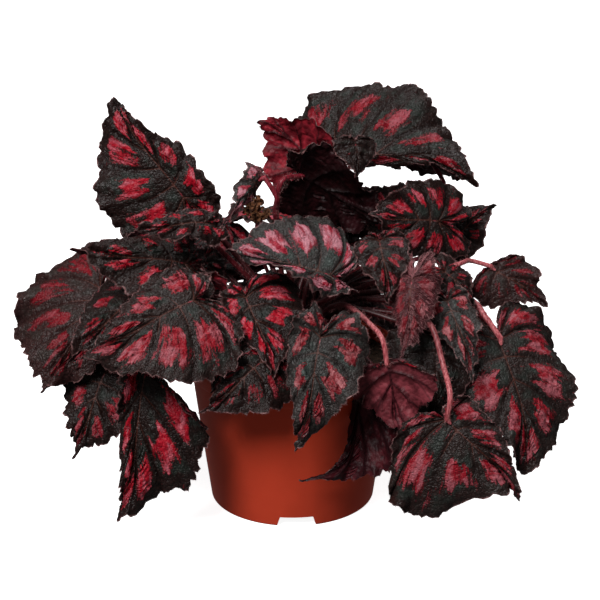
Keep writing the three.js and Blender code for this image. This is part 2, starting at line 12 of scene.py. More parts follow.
import bpy
import numpy as np
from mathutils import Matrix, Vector

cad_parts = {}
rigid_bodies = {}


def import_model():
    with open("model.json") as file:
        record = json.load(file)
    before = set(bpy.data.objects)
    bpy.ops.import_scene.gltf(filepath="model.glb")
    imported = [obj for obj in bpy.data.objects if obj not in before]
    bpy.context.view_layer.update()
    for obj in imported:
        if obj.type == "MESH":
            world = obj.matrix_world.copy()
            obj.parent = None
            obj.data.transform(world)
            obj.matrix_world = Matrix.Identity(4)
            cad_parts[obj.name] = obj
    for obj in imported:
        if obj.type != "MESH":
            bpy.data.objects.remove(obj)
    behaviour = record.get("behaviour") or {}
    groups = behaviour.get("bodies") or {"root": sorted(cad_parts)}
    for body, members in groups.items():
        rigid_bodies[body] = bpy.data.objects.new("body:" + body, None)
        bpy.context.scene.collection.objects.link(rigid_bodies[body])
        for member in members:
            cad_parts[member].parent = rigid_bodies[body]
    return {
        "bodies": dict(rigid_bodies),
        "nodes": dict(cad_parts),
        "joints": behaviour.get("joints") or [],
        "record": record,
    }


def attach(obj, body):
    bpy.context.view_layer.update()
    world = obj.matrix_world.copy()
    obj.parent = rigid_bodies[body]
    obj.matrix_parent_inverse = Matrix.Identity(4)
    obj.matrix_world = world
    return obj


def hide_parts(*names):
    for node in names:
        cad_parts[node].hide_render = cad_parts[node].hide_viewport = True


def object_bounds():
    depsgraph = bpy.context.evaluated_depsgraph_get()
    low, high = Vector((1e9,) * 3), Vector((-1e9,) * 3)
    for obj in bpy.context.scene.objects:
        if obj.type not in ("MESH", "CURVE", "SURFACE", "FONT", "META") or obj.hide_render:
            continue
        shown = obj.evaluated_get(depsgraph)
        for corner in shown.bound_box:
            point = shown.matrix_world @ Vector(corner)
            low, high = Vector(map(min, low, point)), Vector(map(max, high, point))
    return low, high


logging.basicConfig(level=logging.INFO, format="%(message)s")
LOG = logging.getLogger("begonia")

MM = 0.001
TINY, LEAST = 1e-9, 1e-12  # a length that is taken for none, and what stands in for one in a division
Array, Generator = np.ndarray, np.random.Generator
Colour = tuple[float, float, float]
Material, Socket, Thing = bpy.types.Material, bpy.types.NodeSocket, bpy.types.Object

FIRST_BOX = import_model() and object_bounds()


class Marbling(Enum):
    """How much red a blade shows between its veins."""

    BOLD = "bold"
    LAVISH = "lavish"
    MODEST = "modest"
    SPARSE = "sparse"
    # partly painted sheen: a lighter grey ground and more pale in the patches
    SILVER_SHEEN = "silver_sheen"
    FROSTED = "frosted"
    FLUSHED = "flushed"
    VEILED = "veiled"
    DUSKY = "dusky"
    DARK = "dark"


class Underside(Enum):
    """How a blade's lower face looks."""

    SHADED = "shaded"
    DUSTY = "dusty"
    # painted shade: a darker copy for a lower face that lies deep in shade
    DEEP_SHADE = "deep_shade"
    # painted light: a brighter red for a lower face that light shines through
    BACKLIT = "backlit"


# ---- mesh helpers


def unit(rows: Array) -> Array:
    """Return the rows scaled to length one."""
    return rows / np.maximum(np.linalg.norm(rows, axis=-1, keepdims=True), LEAST)


def turned_about(rows: Array, axes: Array, angles: Array) -> Array:
    """Turn vectors about unit axes.

    Args:
        rows: The vectors, one a row.
        axes: The axis of each.
        angles: The angle of each, in radians.

    Returns:
        The turned vectors.
    """
    cos, sin = np.cos(angles)[..., None], np.sin(angles)[..., None]
    along = np.sum(rows * axes, axis=-1, keepdims=True)
    return rows * cos + np.cross(axes, rows) * sin + axes * along * (1 - cos)


def make_object(
    name: str,
    points: Array,
    faces: list,
    materials: list,
    *,
    index: Array | None = None,
    crease: float = 45.0,
) -> Thing:
    """Make a smooth-shaded mesh object from points in millimetres.

    Args:
        name: The object's name.
        points: Its vertices.
        faces: Its faces, as rows of vertex numbers.
        materials: Its material slots.
        index: The slot of each face.
        crease: The angle, in degrees, from which an edge stays sharp.

    Returns:
        The object, linked to the scene.
    """
    mesh = bpy.data.meshes.new(name)
    mesh.from_pydata((points * MM).tolist(), [], [list(map(int, face)) for face in faces])
    for material in materials:
        mesh.materials.append(material)
    if index is not None:
        mesh.polygons.foreach_set("material_index", np.asarray(index, dtype=np.int32))
    mesh.shade_smooth()
    mesh.set_sharp_from_angle(angle=math.radians(crease))
    mesh.update()
    thing = bpy.data.objects.new(name, mesh)
    bpy.context.scene.collection.objects.link(thing)
    return thing


def add_numbers(thing: Thing, name: str, values: Array) -> None:
    """Give each vertex of an object a number, or a vector, that its material reads.

    Args:
        thing: The object.
        name: The attribute's name.
        values: One number or one row of three for each vertex.
    """
    kind, entry = ("FLOAT", "value") if values.ndim == 1 else ("FLOAT_VECTOR", "vector")
    attribute = thing.data.attributes.new(name, kind, "POINT")
    attribute.data.foreach_set(entry, values.astype(np.float32).ravel())


HAIR_CORNERS = (0.0, 2.094, 4.189)  # where the three corners of a hair's root are, in radians
HAIR_FACES = ((0, 1, 3), (1, 2, 3), (2, 0, 3), (2, 1, 0))
UPRIGHT = 0.9  # a hair that rises more steeply than this needs another axis to be built on


def spikes(roots: Array, ways: Array, lengths: Array, radius: float) -> tuple[Array, Array]:
    """Build one slim three-sided hair at each root.

    Args:
        roots: Where the hairs start.
        ways: The unit direction of each.
        lengths: The length of each.
        radius: The radius at the root.

    Returns:
        The vertices and the faces.
    """
    other = np.where(np.abs(ways[:, 2:3]) < UPRIGHT, np.array([[0.0, 0.0, 1.0]]), np.array([[1.0, 0.0, 0.0]]))
    side = unit(np.cross(ways, other))
    front = np.cross(ways, side)
    corners = [roots + radius * (math.cos(turn) * side + math.sin(turn) * front) for turn in HAIR_CORNERS]
    tips = roots + ways * lengths[:, None]
    points = np.stack([*corners, tips], axis=1).reshape(-1, 3)
    start = np.arange(len(roots))[:, None] * (len(HAIR_CORNERS) + 1)
    faces = np.concatenate([start + np.array(face) for face in HAIR_FACES])
    return points, faces


def rim_faces(rows: int, columns: int) -> Array:
    """Quads that join the rim of an open grid to the rim of a second one behind it.

    Args:
        rows: How many rows each grid has.
        columns: How many vertices a row has.

    Returns:
        The quads, where the second grid's vertices follow the first one's.
    """
    number = np.arange(rows * columns).reshape(rows, columns)
    rim = np.concatenate([number[0, :-1], number[:-1, -1], number[-1, :0:-1], number[:0:-1, 0]])
    after = np.roll(rim, -1)
    return np.stack([after, rim, rim + number.size, after + number.size], axis=1)


def grid_faces(rows: int, columns: int, *, wrap: bool = True) -> Array:
    """Quads of a grid whose vertices run along its columns first.

    Args:
        rows: How many rows it has.
        columns: How many vertices a row has.
        wrap: Whether each row closes on itself.

    Returns:
        The quads.
    """
    row, column = np.meshgrid(np.arange(rows - 1), np.arange(columns if wrap else columns - 1), indexing="ij")
    after = (column + 1) % columns
    here, ahead = row * columns, (row + 1) * columns
    quads = np.stack([here + column, here + after, ahead + after, ahead + column], axis=-1)
    return quads.reshape(-1, 4)


# ---- material helper


MIX_FIRST, MIX_SECOND, MIX_RESULT = 6, 7, 2  # where a mix node has its colours


def scaled(colour: Colour, share: float) -> tuple[float, ...]:
    """Return a colour made darker or lighter by a share."""
    return tuple(share * part for part in colour)


class Recipe:
    """Builds one material from nodes.

    Attributes:
        material: The material.
        tree: Its nodes.
        shader: Its main shader.
    """

    def __init__(self, name: str) -> None:
        """Start a material that has only its main shader.

        Args:
            name: The material's name.
        """
        self.material = bpy.data.materials.new(name)
        self.material.use_nodes = True
        self.tree = self.material.node_tree
        self.tree.nodes.clear()
        self.shader = self.tree.nodes.new("ShaderNodeBsdfPrincipled")
        output = self.tree.nodes.new("ShaderNodeOutputMaterial")
        self.tree.links.new(self.shader.outputs[0], output.inputs["Surface"])

    def put(self, socket: Socket, value: object) -> None:
        """Set a socket to a value, or link another socket to it.

        Args:
            socket: The socket.
            value: A number, a colour, a vector or another socket.
        """
        if isinstance(value, Socket):
            self.tree.links.new(value, socket)
        elif isinstance(value, tuple) and len(value) == 3 and len(socket.default_value) == 4:
            socket.default_value = (*value, 1.0)
        else:
            socket.default_value = value

    def finish(self, **sockets: object) -> Material:
        """Set the main shader's sockets.

        Args:
            **sockets: What goes into each, where its name has _ for a space.

        Returns:
            The material.
        """
        for name, value in sockets.items():
            self.put(self.shader.inputs[name.replace("_", " ")], value)
        return self.material

    def read(self, name: str, output: str = "Fac") -> Socket:
        """Read a number, or a vector, that the mesh carries.

        Args:
            name: The attribute's name.
            output: "Fac" for a number and "Vector" for a vector.

        Returns:
            Its socket.
        """
        node = self.tree.nodes.new("ShaderNodeAttribute")
        node.attribute_name = name
        return node.outputs[output]

    def place(self) -> Socket:
        """Return the socket of a point's own place on the piece, in metres."""
        return self.tree.nodes.new("ShaderNodeTexCoord").outputs["Object"]

    def math(self, operation: str, first: object, second: object) -> Socket:
        """Put two numbers together.

        Args:
            operation: The name of what is done with them.
            first: The first number.
            second: The second one.

        Returns:
            The result's socket.
        """
        node = self.tree.nodes.new("ShaderNodeMath")
        node.operation = operation
        self.put(node.inputs[0], first)
        self.put(node.inputs[1], second)
        return node.outputs[0]

    def times(self, first: object, *others: object) -> Socket:
        """Work out a product.

        Args:
            first: The first number.
            *others: The others.

        Returns:
            The product's socket.
        """
        for other in others:
            first = self.math("MULTIPLY", first, other)
        return first

    def plus(self, first: object, *others: object) -> Socket:
        """Work out a sum.

        Args:
            first: The first number.
            *others: The others.

        Returns:
            The sum's socket.
        """
        for other in others:
            first = self.math("ADD", first, other)
        return first

    def step(self, value: object, low: float, high: float, start: float = 0.0, end: float = 1.0) -> Socket:
        """Go smoothly from one number to another as a value goes from low to high.

        Args:
            value: The value.
            low: The value that gives the first number.
            high: The value that gives the second one.
            start: The first number.
            end: The second number.

        Returns:
            The result's socket.
        """
        node = self.tree.nodes.new("ShaderNodeMapRange")
        node.interpolation_type = "SMOOTHSTEP"
        for index, number in enumerate((value, low, high, start, end)):
            self.put(node.inputs[index], number)
        return node.outputs[0]

    def noise(self, where: object, scale: float, detail: float = 3.0, roughness: float = 0.55) -> Socket:
        """Draw a cloudy number between about 0.2 and 0.8.

        Args:
            where: The place.
            scale: How fine the clouds are.
            detail: How many finer layers they have.
            roughness: How strong those are.

        Returns:
            The number's socket.
        """
        node = self.tree.nodes.new("ShaderNodeTexNoise")
        self.put(node.inputs["Vector"], where)
        self.put(node.inputs["Scale"], scale)
        self.put(node.inputs["Detail"], detail)
        self.put(node.inputs["Roughness"], roughness)
        return node.outputs[0]

    def cells(self, where: object, scale: float, feature: str = "F1") -> Socket:
        """Measure the distance to the nearest of scattered points, or of the lines between them.

        Args:
            where: The place.
            scale: How close the points are.
            feature: "F1" for the points and "DISTANCE_TO_EDGE" for the lines.

        Returns:
            The distance's socket.
        """
        node = self.tree.nodes.new("ShaderNodeTexVoronoi")
        node.feature = feature
        self.put(node.inputs["Vector"], where)
        self.put(node.inputs["Scale"], scale)
        return node.outputs["Distance"]

    def stretch(self, where: object, scale: tuple[float, float, float]) -> Socket:
        """Scale the three numbers of a place.

        Args:
            where: The place.
            scale: What each number is multiplied by.

        Returns:
            The new place's socket.
        """
        node = self.tree.nodes.new("ShaderNodeMapping")
        self.put(node.inputs["Vector"], where)
        self.put(node.inputs["Scale"], scale)
        return node.outputs[0]

    def blend(self, share: object, first: object, second: object) -> Socket:
        """Blend two colours.

        Args:
            share: How much of the second one there is.
            first: The first colour.
            second: The second one.

        Returns:
            The blend's socket.
        """
        node = self.tree.nodes.new("ShaderNodeMix")
        node.data_type = "RGBA"
        self.put(node.inputs[0], share)
        self.put(node.inputs[MIX_FIRST], first)
        self.put(node.inputs[MIX_SECOND], second)
        return node.outputs[MIX_RESULT]

    def bump(self, height: object, depth: float, strength: float = 1.0, under: object = None) -> Socket:
        """Tilt the surface as a fine relief would.

        Args:
            height: The relief.
            depth: How high a height of one stands, in millimetres.
            strength: How much of the relief shows.
            under: The normal of a coarser relief under it.

        Returns:
            The normal's socket.
        """
        node = self.tree.nodes.new("ShaderNodeBump")
        self.put(node.inputs["Strength"], strength)
        self.put(node.inputs["Distance"], depth * MM)
        self.put(node.inputs["Height"], height)
        if under is not None:
            self.put(node.inputs["Normal"], under)
        return node.outputs[0]


# ---- finishes


DOWN_COLOUR = (0.060, 0.019, 0.021)  # the fine down on a blade
VEIN_COLOUR = (0.11, 0.036, 0.026)
# the pale rim: partly fine down, partly painted highlight
RIM_DOWN_AND_HIGHLIGHT = (0.24, 0.120, 0.118)
PATCH_EDGE = (3.18, 3.32)  # the levels between which a patch begins
CORE_EDGE = (3.22, 3.66)  # those between which it gets to its full red
PALE_EDGE = (0.50, 0.66)  # and those between which it goes pale, partly pink marking and partly painted sheen


@dataclass(frozen=True)
class BladeFinish:
    """The upper face of a blade.

    Attributes:
        ground: The dark colour along the veins and round the edge.
        shade: The greener, lighter dark colour that it goes over to in places, partly the leaf's greenish
            tone and partly painted sheen on the puffs between the veins.
        red: The colour of the patches between the veins.
        pale: The colour of the middle of a patch, partly pink marking and partly painted sheen.
        cover: How far the patches spread; 0 is as usual.
        silver: How much of the patches is pale, which is partly painted sheen.
        fingers: How much the patches split into fingers that run towards the edge.
        veins: How clearly the veins show near the hilt.
    """

    ground: Colour = (0.0090, 0.0042, 0.0036)
    shade: Colour = (0.0120, 0.0165, 0.0138)
    red: Colour = (0.36, 0.0065, 0.018)
    pale: Colour = (0.46, 0.095, 0.125)
    cover: float = 0.0
    silver: float = 0.0
    fingers: float = 0.9
    veins: float = 0.5

    def patches(self, make: Recipe) -> tuple[Socket, Socket, Socket]:
        """Find the patches between the veins.

        Args:
            make: The recipe that the nodes go to.

        Returns:
            Where the patches are, how deep in a patch a place is, and where they are pale, partly as painted
            sheen.
        """
        flat, grain = make.read("flat", "Vector"), make.read("grain", "Vector")
        run, cell = make.read("run"), make.read("cell")
        wander = make.noise(make.stretch(grain, (0.30, 0.16, 1.0)), 0.9, 2.0, 0.6)
        shifted = make.plus(run, make.times(make.math("SUBTRACT", wander, 0.5), 0.9))
        inside = make.times(make.step(shifted, 0.22, 0.44), make.step(shifted, 0.94, 0.70))
        kept = make.times(make.step(run, 0.10, 0.32), make.step(run, 0.93, 0.78))
        zone = make.times(inside, make.step(cell, 0.0, 0.60), kept)
        blob = make.noise(make.stretch(grain, (1.0, 0.42, 1.0)), 0.5, 2.0, 0.5)
        finger = make.noise(make.stretch(grain, (2.6, 0.7, 1.0)), 0.8, 2.0, 0.6)
        nibble = make.noise(flat, 0.80, 3.0, 0.75)
        broad = make.noise(flat, 0.040, 2.0)
        fingers = make.plus(make.times(make.math("SUBTRACT", finger, 0.5), self.fingers), 0.45)
        level = make.plus(zone, make.times(blob, 2.0), fingers, make.times(nibble, 1.45), broad)
        patch = make.step(level, *(limit - self.cover for limit in PATCH_EDGE))
        core = make.step(level, *(limit - self.cover for limit in CORE_EDGE))
        # partly painted sheen: a patch goes pale in cloudy places, more so towards the edge
        sheen = make.noise(make.stretch(grain, (0.5, 0.5, 1.0)), 0.8, 3.0, 0.6)
        sheen = make.plus(sheen, make.times(make.math("SUBTRACT", run, 0.5), 0.26))
        pale = make.times(core, make.step(sheen, *(limit - self.silver for limit in PALE_EDGE)))
        return patch, core, pale

    def ground_colour(self, make: Recipe, net: Socket) -> Socket:
        """Mix the dark ground: mottled, greener away from the veins, partly its own tone and partly painted
        sheen, downy near the edge.

        Args:
            make: The recipe that the nodes go to.
            net: The distance to the lines of the fine net of veins.

        Returns:
            The colour.
        """
        flat, rib, rim = make.read("flat", "Vector"), make.read("rib"), make.read("rim")
        speckle = make.step(make.noise(flat, 0.9, 4.0, 0.75), 0.36, 0.66)
        mottle = make.times(speckle, make.step(net, 0.0, 0.22))
        ground = make.blend(mottle, self.ground, scaled(self.ground, 2.5))
        shade = make.blend(mottle, self.shade, scaled(self.shade, 2.3))
        # partly painted sheen: greener, lighter places on the puffs, away from the veins and the edge
        green_sheen_share = make.times(make.step(make.noise(flat, 0.09, 3.0), 0.42, 0.62), make.step(rib, 0.8, 4.0))
        ground = make.blend(make.times(green_sheen_share, make.step(rim, 1.5, 10.0, 0.12, 0.75)), ground, shade)
        down = make.step(make.noise(flat, 1.7, 2.0, 0.8), 0.52, 0.68)
        return make.blend(make.times(down, make.step(rim, 14.0, 1.0, 0.06, 0.55)), ground, DOWN_COLOUR)

    def patch_colour(self, make: Recipe, core: Socket, pale: Socket) -> Socket:
        """Mix the colour of the patches: red, darker at their edge, partly their own crimson rim and partly
        painted shade towards the veins, and streaked.

        Args:
            make: The recipe that the nodes go to.
            core: How deep in a patch a place is.
            pale: Where the patches are pale, partly as painted sheen.

        Returns:
            The colour.
        """
        grain = make.read("grain", "Vector")
        streak = make.step(make.noise(make.stretch(grain, (1.6, 1.2, 1.0)), 1.0, 4.0, 0.7), 0.36, 0.66)
        # partly painted shade: a patch is darker at its edge, towards the veins, and full red in its core
        red = make.blend(core, scaled(self.red, 0.36), self.red)
        red = make.blend(make.times(streak, 0.25), red, scaled(self.red, 0.45))
        # the pale places: partly pink marking, partly painted sheen
        silver = make.blend(streak, self.pale, scaled(self.pale, 0.70))
        return make.blend(pale, red, silver)

    def drawn_over(self, make: Recipe, colour: Socket, patch: Socket) -> Socket:
        """Draw what lies over ground and patches: specks, veins, painted shade along the main veins and in
        the creases by the twigs, and the pale rim of down and painted highlight.

        Args:
            make: The recipe that the nodes go to.
            colour: The colour so far.
            patch: Where the patches are.

        Returns:
            The colour.
        """
        flat, run = make.read("flat", "Vector"), make.read("run")
        rib, rim, twig = make.read("rib"), make.read("rim"), make.read("twig")
        # painted shade: the ground darkens along the main veins, where they sink in grooves
        deep = make.times(make.step(rib, 2.6, 0.7), make.step(run, 0.05, 0.35), 0.4)
        colour = make.blend(deep, colour, scaled(self.ground, 0.5))
        speck = make.step(make.noise(flat, 1.1, 2.0, 0.6), 0.60, 0.68, 0.0, 0.6)
        colour = make.blend(make.times(speck, patch), colour, self.ground)
        veins = make.times(make.step(rib, 0.6, 0.15), make.step(run, 0.50, 0.05), self.veins)
        colour = make.blend(veins, colour, VEIN_COLOUR)
        # painted shade: darker red in the creases along the twigs of the patches
        crease = make.times(make.step(twig, 1.0, 0.2), patch, 0.7)
        colour = make.blend(crease, colour, scaled(self.red, 0.16))
        # the pale rim along the edge, partly down and partly painted highlight, broken up at random
        rim_breaks = make.step(make.noise(flat, 0.30, 2.0), 0.40, 0.62, 0.2, 1.0)
        return make.blend(make.times(make.step(rim, 0.9, 0.2), rim_breaks, 0.8), colour, RIM_DOWN_AND_HIGHLIGHT)

    def material(self, name: str) -> Material:
        """Build the material.

        Args:
            name: Its name.

        Returns:
            The material.
        """
        make = Recipe(name)
        flat = make.read("flat", "Vector")
        net = make.cells(flat, 0.42, "DISTANCE_TO_EDGE")
        patch, core, pale = self.patches(make)
        colour = make.blend(patch, self.ground_colour(make, net), self.patch_colour(make, core, pale))
        colour = self.drawn_over(make, colour, patch)
        crinkle = make.noise(flat, 0.8, 3.0, 0.6)
        normal = make.bump(make.cells(flat, 0.30), -0.8, 0.8)
        normal = make.bump(make.step(net, 0.0, 0.25), 0.28, 0.9, normal)
        normal = make.bump(crinkle, 0.55, 0.9, normal)
        rough = make.step(crinkle, 0.3, 0.7, 0.24, 0.44)
        return make.finish(Base_Color=colour, Roughness=rough, Normal=normal, Specular_IOR_Level=0.17)


@dataclass(frozen=True)
class UndersideFinish:
    """The lower face of a blade.

    Attributes:
        skin: The colour between the veins.
        glow: The colour where light comes through.
        vein: The colour of the veins.
    """

    skin: Colour = (0.020, 0.0030, 0.0045)
    glow: Colour = (0.060, 0.0065, 0.0100)
    vein: Colour = (0.012, 0.0026, 0.0036)

    def material(self, name: str) -> Material:
        """Build the material.

        Args:
            name: Its name.

        Returns:
            The material.
        """
        make = Recipe(name)
        flat = make.read("flat", "Vector")
        rib, twig, cell = make.read("rib"), make.read("twig"), make.read("cell")
        light = make.times(make.step(make.noise(flat, 0.12, 3.0), 0.4, 0.62), make.step(cell, 0.05, 0.5))
        colour = make.blend(light, self.skin, self.glow)
        veins = make.math("MAXIMUM", make.step(rib, 1.1, 0.4), make.step(twig, 0.8, 0.3, 0.0, 0.7))
        colour = make.blend(make.times(veins, 0.8), colour, self.vein)
        fuzz = make.noise(flat, 1.9, 2.0, 0.8)
        colour = make.blend(make.step(fuzz, 0.56, 0.7, 0.0, 0.35), colour, scaled(self.glow, 1.6))
        normal = make.bump(make.cells(flat, 0.35), -1.0, 0.7)
        normal = make.bump(make.noise(flat, 0.7, 3.0), 0.4, 0.8, normal)
        return make.finish(Base_Color=colour, Roughness=0.5, Normal=normal, Specular_IOR_Level=0.15)


@dataclass(frozen=True)
class StemFinish:
    """A stalk's skin: red, paler in fine lengthwise streaks, in a lit copy for the stalks that hang over the
    front and a painted-shade copy for the others, with painted shade near the rhizome.

    Attributes:
        dark: The darker red of the lit copy, for the stalks that hang over the front.
        light: Their lighter, pinker red.
        blush: The pink of the specks on them.
        foot: Painted shade: the deep red of every stalk near the rhizome, where the leaves shade it.
        inner: The painted-shade copy: the deep and the clear red of the other stalks, which stand in shade.
    """

    dark: Colour = (0.24, 0.018, 0.028)
    light: Colour = (0.64, 0.19, 0.20)
    blush: Colour = (0.50, 0.19, 0.19)
    foot: Colour = (0.020, 0.0018, 0.0024)
    inner: tuple[Colour, Colour] = ((0.11, 0.0055, 0.0110), (0.27, 0.0200, 0.0360))

    def material(self, name: str) -> Material:
        """Build the material.

        Args:
            name: Its name.

        Returns:
            The material.
        """
        make = Recipe(name)
        where = make.stretch(make.place(), (900.0, 900.0, 130.0))
        streak = make.step(make.noise(where, 1.0, 3.0, 0.6), 0.36, 0.66)
        specks = make.step(make.noise(where, 3.1, 2.0), 0.60, 0.7, 0.0, 0.5)
        pale = make.blend(specks, make.blend(streak, self.dark, self.light), self.blush)
        # painted light: the stalks that hang over the front take the lit copy, the others the painted-shade
        # copy
        colour = make.blend(make.read("lit_share"), make.blend(streak, *self.inner), pale)
        # painted shade: every stalk darkens towards the rhizome, where the leaves shade it
        foot = make.blend(streak, self.foot, scaled(self.foot, 2.5))
        colour = make.blend(make.step(make.read("climb"), 0.35, 0.95), foot, colour)
        normal = make.bump(make.noise(where, 1.6, 2.0), 0.15, 0.8)
        return make.finish(Base_Color=colour, Roughness=0.42, Normal=normal, Specular_IOR_Level=0.3)


@dataclass(frozen=True)
class HairFinish:
    """Fine hairs, pinkish white.

    Attributes:
        colour: Their colour.
    """

    colour: Colour = (0.22, 0.085, 0.085)

    def material(self, name: str) -> Material:
        """Build the material.

        Args:
            name: Its name.

        Returns:
            The material.
        """
        make = Recipe(name)
        cloud = make.noise(make.place(), 60.0, 2.0)
        colour = make.blend(make.step(cloud, 0.35, 0.65), self.colour, scaled(self.colour, 0.7))
        return make.finish(Base_Color=colour, Roughness=0.6)


@dataclass(frozen=True)
class PotFinish:
    """Thin satin plastic in terracotta red.

    Attributes:
        body: Its colour.
        scuff: The paler colour of rubbed places.
        glow_reach: How far light spreads inside it, in metres of red, green and blue.
    """

    body: Colour = (0.54, 0.052, 0.022)
    scuff: Colour = (0.56, 0.075, 0.036)
    glow_reach: Colour = (0.004, 0.001, 0.0006)

    def material(self, name: str) -> Material:
        """Build the material.

        Args:
            name: Its name.

        Returns:
            The material.
        """
        make = Recipe(name)
        where = make.place()
        cloud = make.noise(where, 14.0, 4.0, 0.6)
        colour = make.blend(make.step(cloud, 0.35, 0.7), self.body, scaled(self.body, 0.86))
        lines = make.noise(make.stretch(where, (25.0, 25.0, 420.0)), 1.0, 3.0, 0.6)
        colour = make.blend(make.step(lines, 0.66, 0.78, 0.0, 0.25), colour, self.scuff)
        orange_peel = make.noise(where, 900.0, 2.0)
        return make.finish(
            Base_Color=colour,
            Roughness=make.step(cloud, 0.3, 0.7, 0.42, 0.52),
            Normal=make.bump(orange_peel, 0.05, 0.35),
            Specular_IOR_Level=0.10,
            Subsurface_Weight=0.06,
            Subsurface_Radius=self.glow_reach,
        )


@dataclass(frozen=True)
class EarthFinish:
    """Dark, rough potting mix, or dry brown plant matter.

    Attributes:
        dark: Its darker colour.
        light: Its lighter colour.
        grain: The size of its grain, as a scale of the noise.
    """

    dark: Colour = (0.014, 0.008, 0.005)
    light: Colour = (0.07, 0.042, 0.025)
    grain: float = 420.0

    def material(self, name: str) -> Material:
        """Build the material.

        Args:
            name: Its name.

        Returns:
            The material.
        """
        make = Recipe(name)
        where = make.place()
        crumbs = make.noise(where, self.grain, 4.0, 0.7)
        colour = make.blend(make.step(crumbs, 0.38, 0.68), self.dark, self.light)
        normal = make.bump(make.noise(where, self.grain * 1.3, 4.0, 0.7), 1.2)
        return make.finish(Base_Color=colour, Roughness=0.9, Normal=normal, Specular_IOR_Level=0.25)


# ---- the leaves

HALF_OUTLINE = (
    (1.0, 0.0), (0.88, 0.07), (0.7, 0.22), (0.45, 0.42), (0.15, 0.55),
    (-0.15, 0.52), (-0.38, 0.36), (-0.42, 0.19), (-0.28, 0.07), (-0.06, 0.0),
)  # half of a blade one unit long, from its tip to its notch
HALF_WIDTH = 0.55
VEINS = (0.0, 0.12, 0.25, 0.39, 0.55, 0.72, 0.88, 1.0)  # places round the edge where the main veins end
RUFFLE_HEIGHT, RUFFLE_WAVES = 0.05, 7
SCALLOP_DEPTH, SCALLOP_COUNT = 0.035, 11
BOW_SCALE = 6.75  # makes the greatest value of x * x * (1 - x) one
STRAIGHT = 1e-3  # half an arch, in radians, that is taken for none


def outline_curve(place: Array) -> tuple[Array, Array]:
    """Follow the half outline of a blade one unit long.

    Args:
        place: 0 at the tip, 1 at the notch.

    Returns:
        How far along the midrib and how far out each place is.
    """
    points = np.array(HALF_OUTLINE)
    last = len(points) - 1
    spot = np.clip(place, 0.0, 1.0) * last
    low = np.minimum(spot.astype(int), last - 1)
    part = (spot - low)[:, None]
    before, here = points[np.maximum(low - 1, 0)], points[low]
    ahead, beyond = points[low + 1], points[np.minimum(low + 2, last)]
    start, end = (ahead - before) / 2, (beyond - here) / 2
    cubic = 2 * here - 2 * ahead + start + end
    square = 3 * ahead - 3 * here - 2 * start - end
    curve = cubic * part**3 + square * part**2 + start * part + here
    return curve[:, 0], curve[:, 1]


def arc(stretch: Array, bend: Array, slope: float) -> tuple[Array, Array]:
    """Say how far arcs get ahead and down.

    Args:
        stretch: The length of each.
        bend: Its turning for each unit of length, in radians.
        slope: How steeply it starts, in radians.

    Returns:
        The distances ahead and down.
    """
    least = 1e-6  # stands in for no bend at all
    safe = np.where(np.abs(bend) < least, least, bend)
    end = slope + safe * stretch
    return (np.sin(end) - math.sin(slope)) / safe, (math.cos(slope) - np.cos(end)) / safe


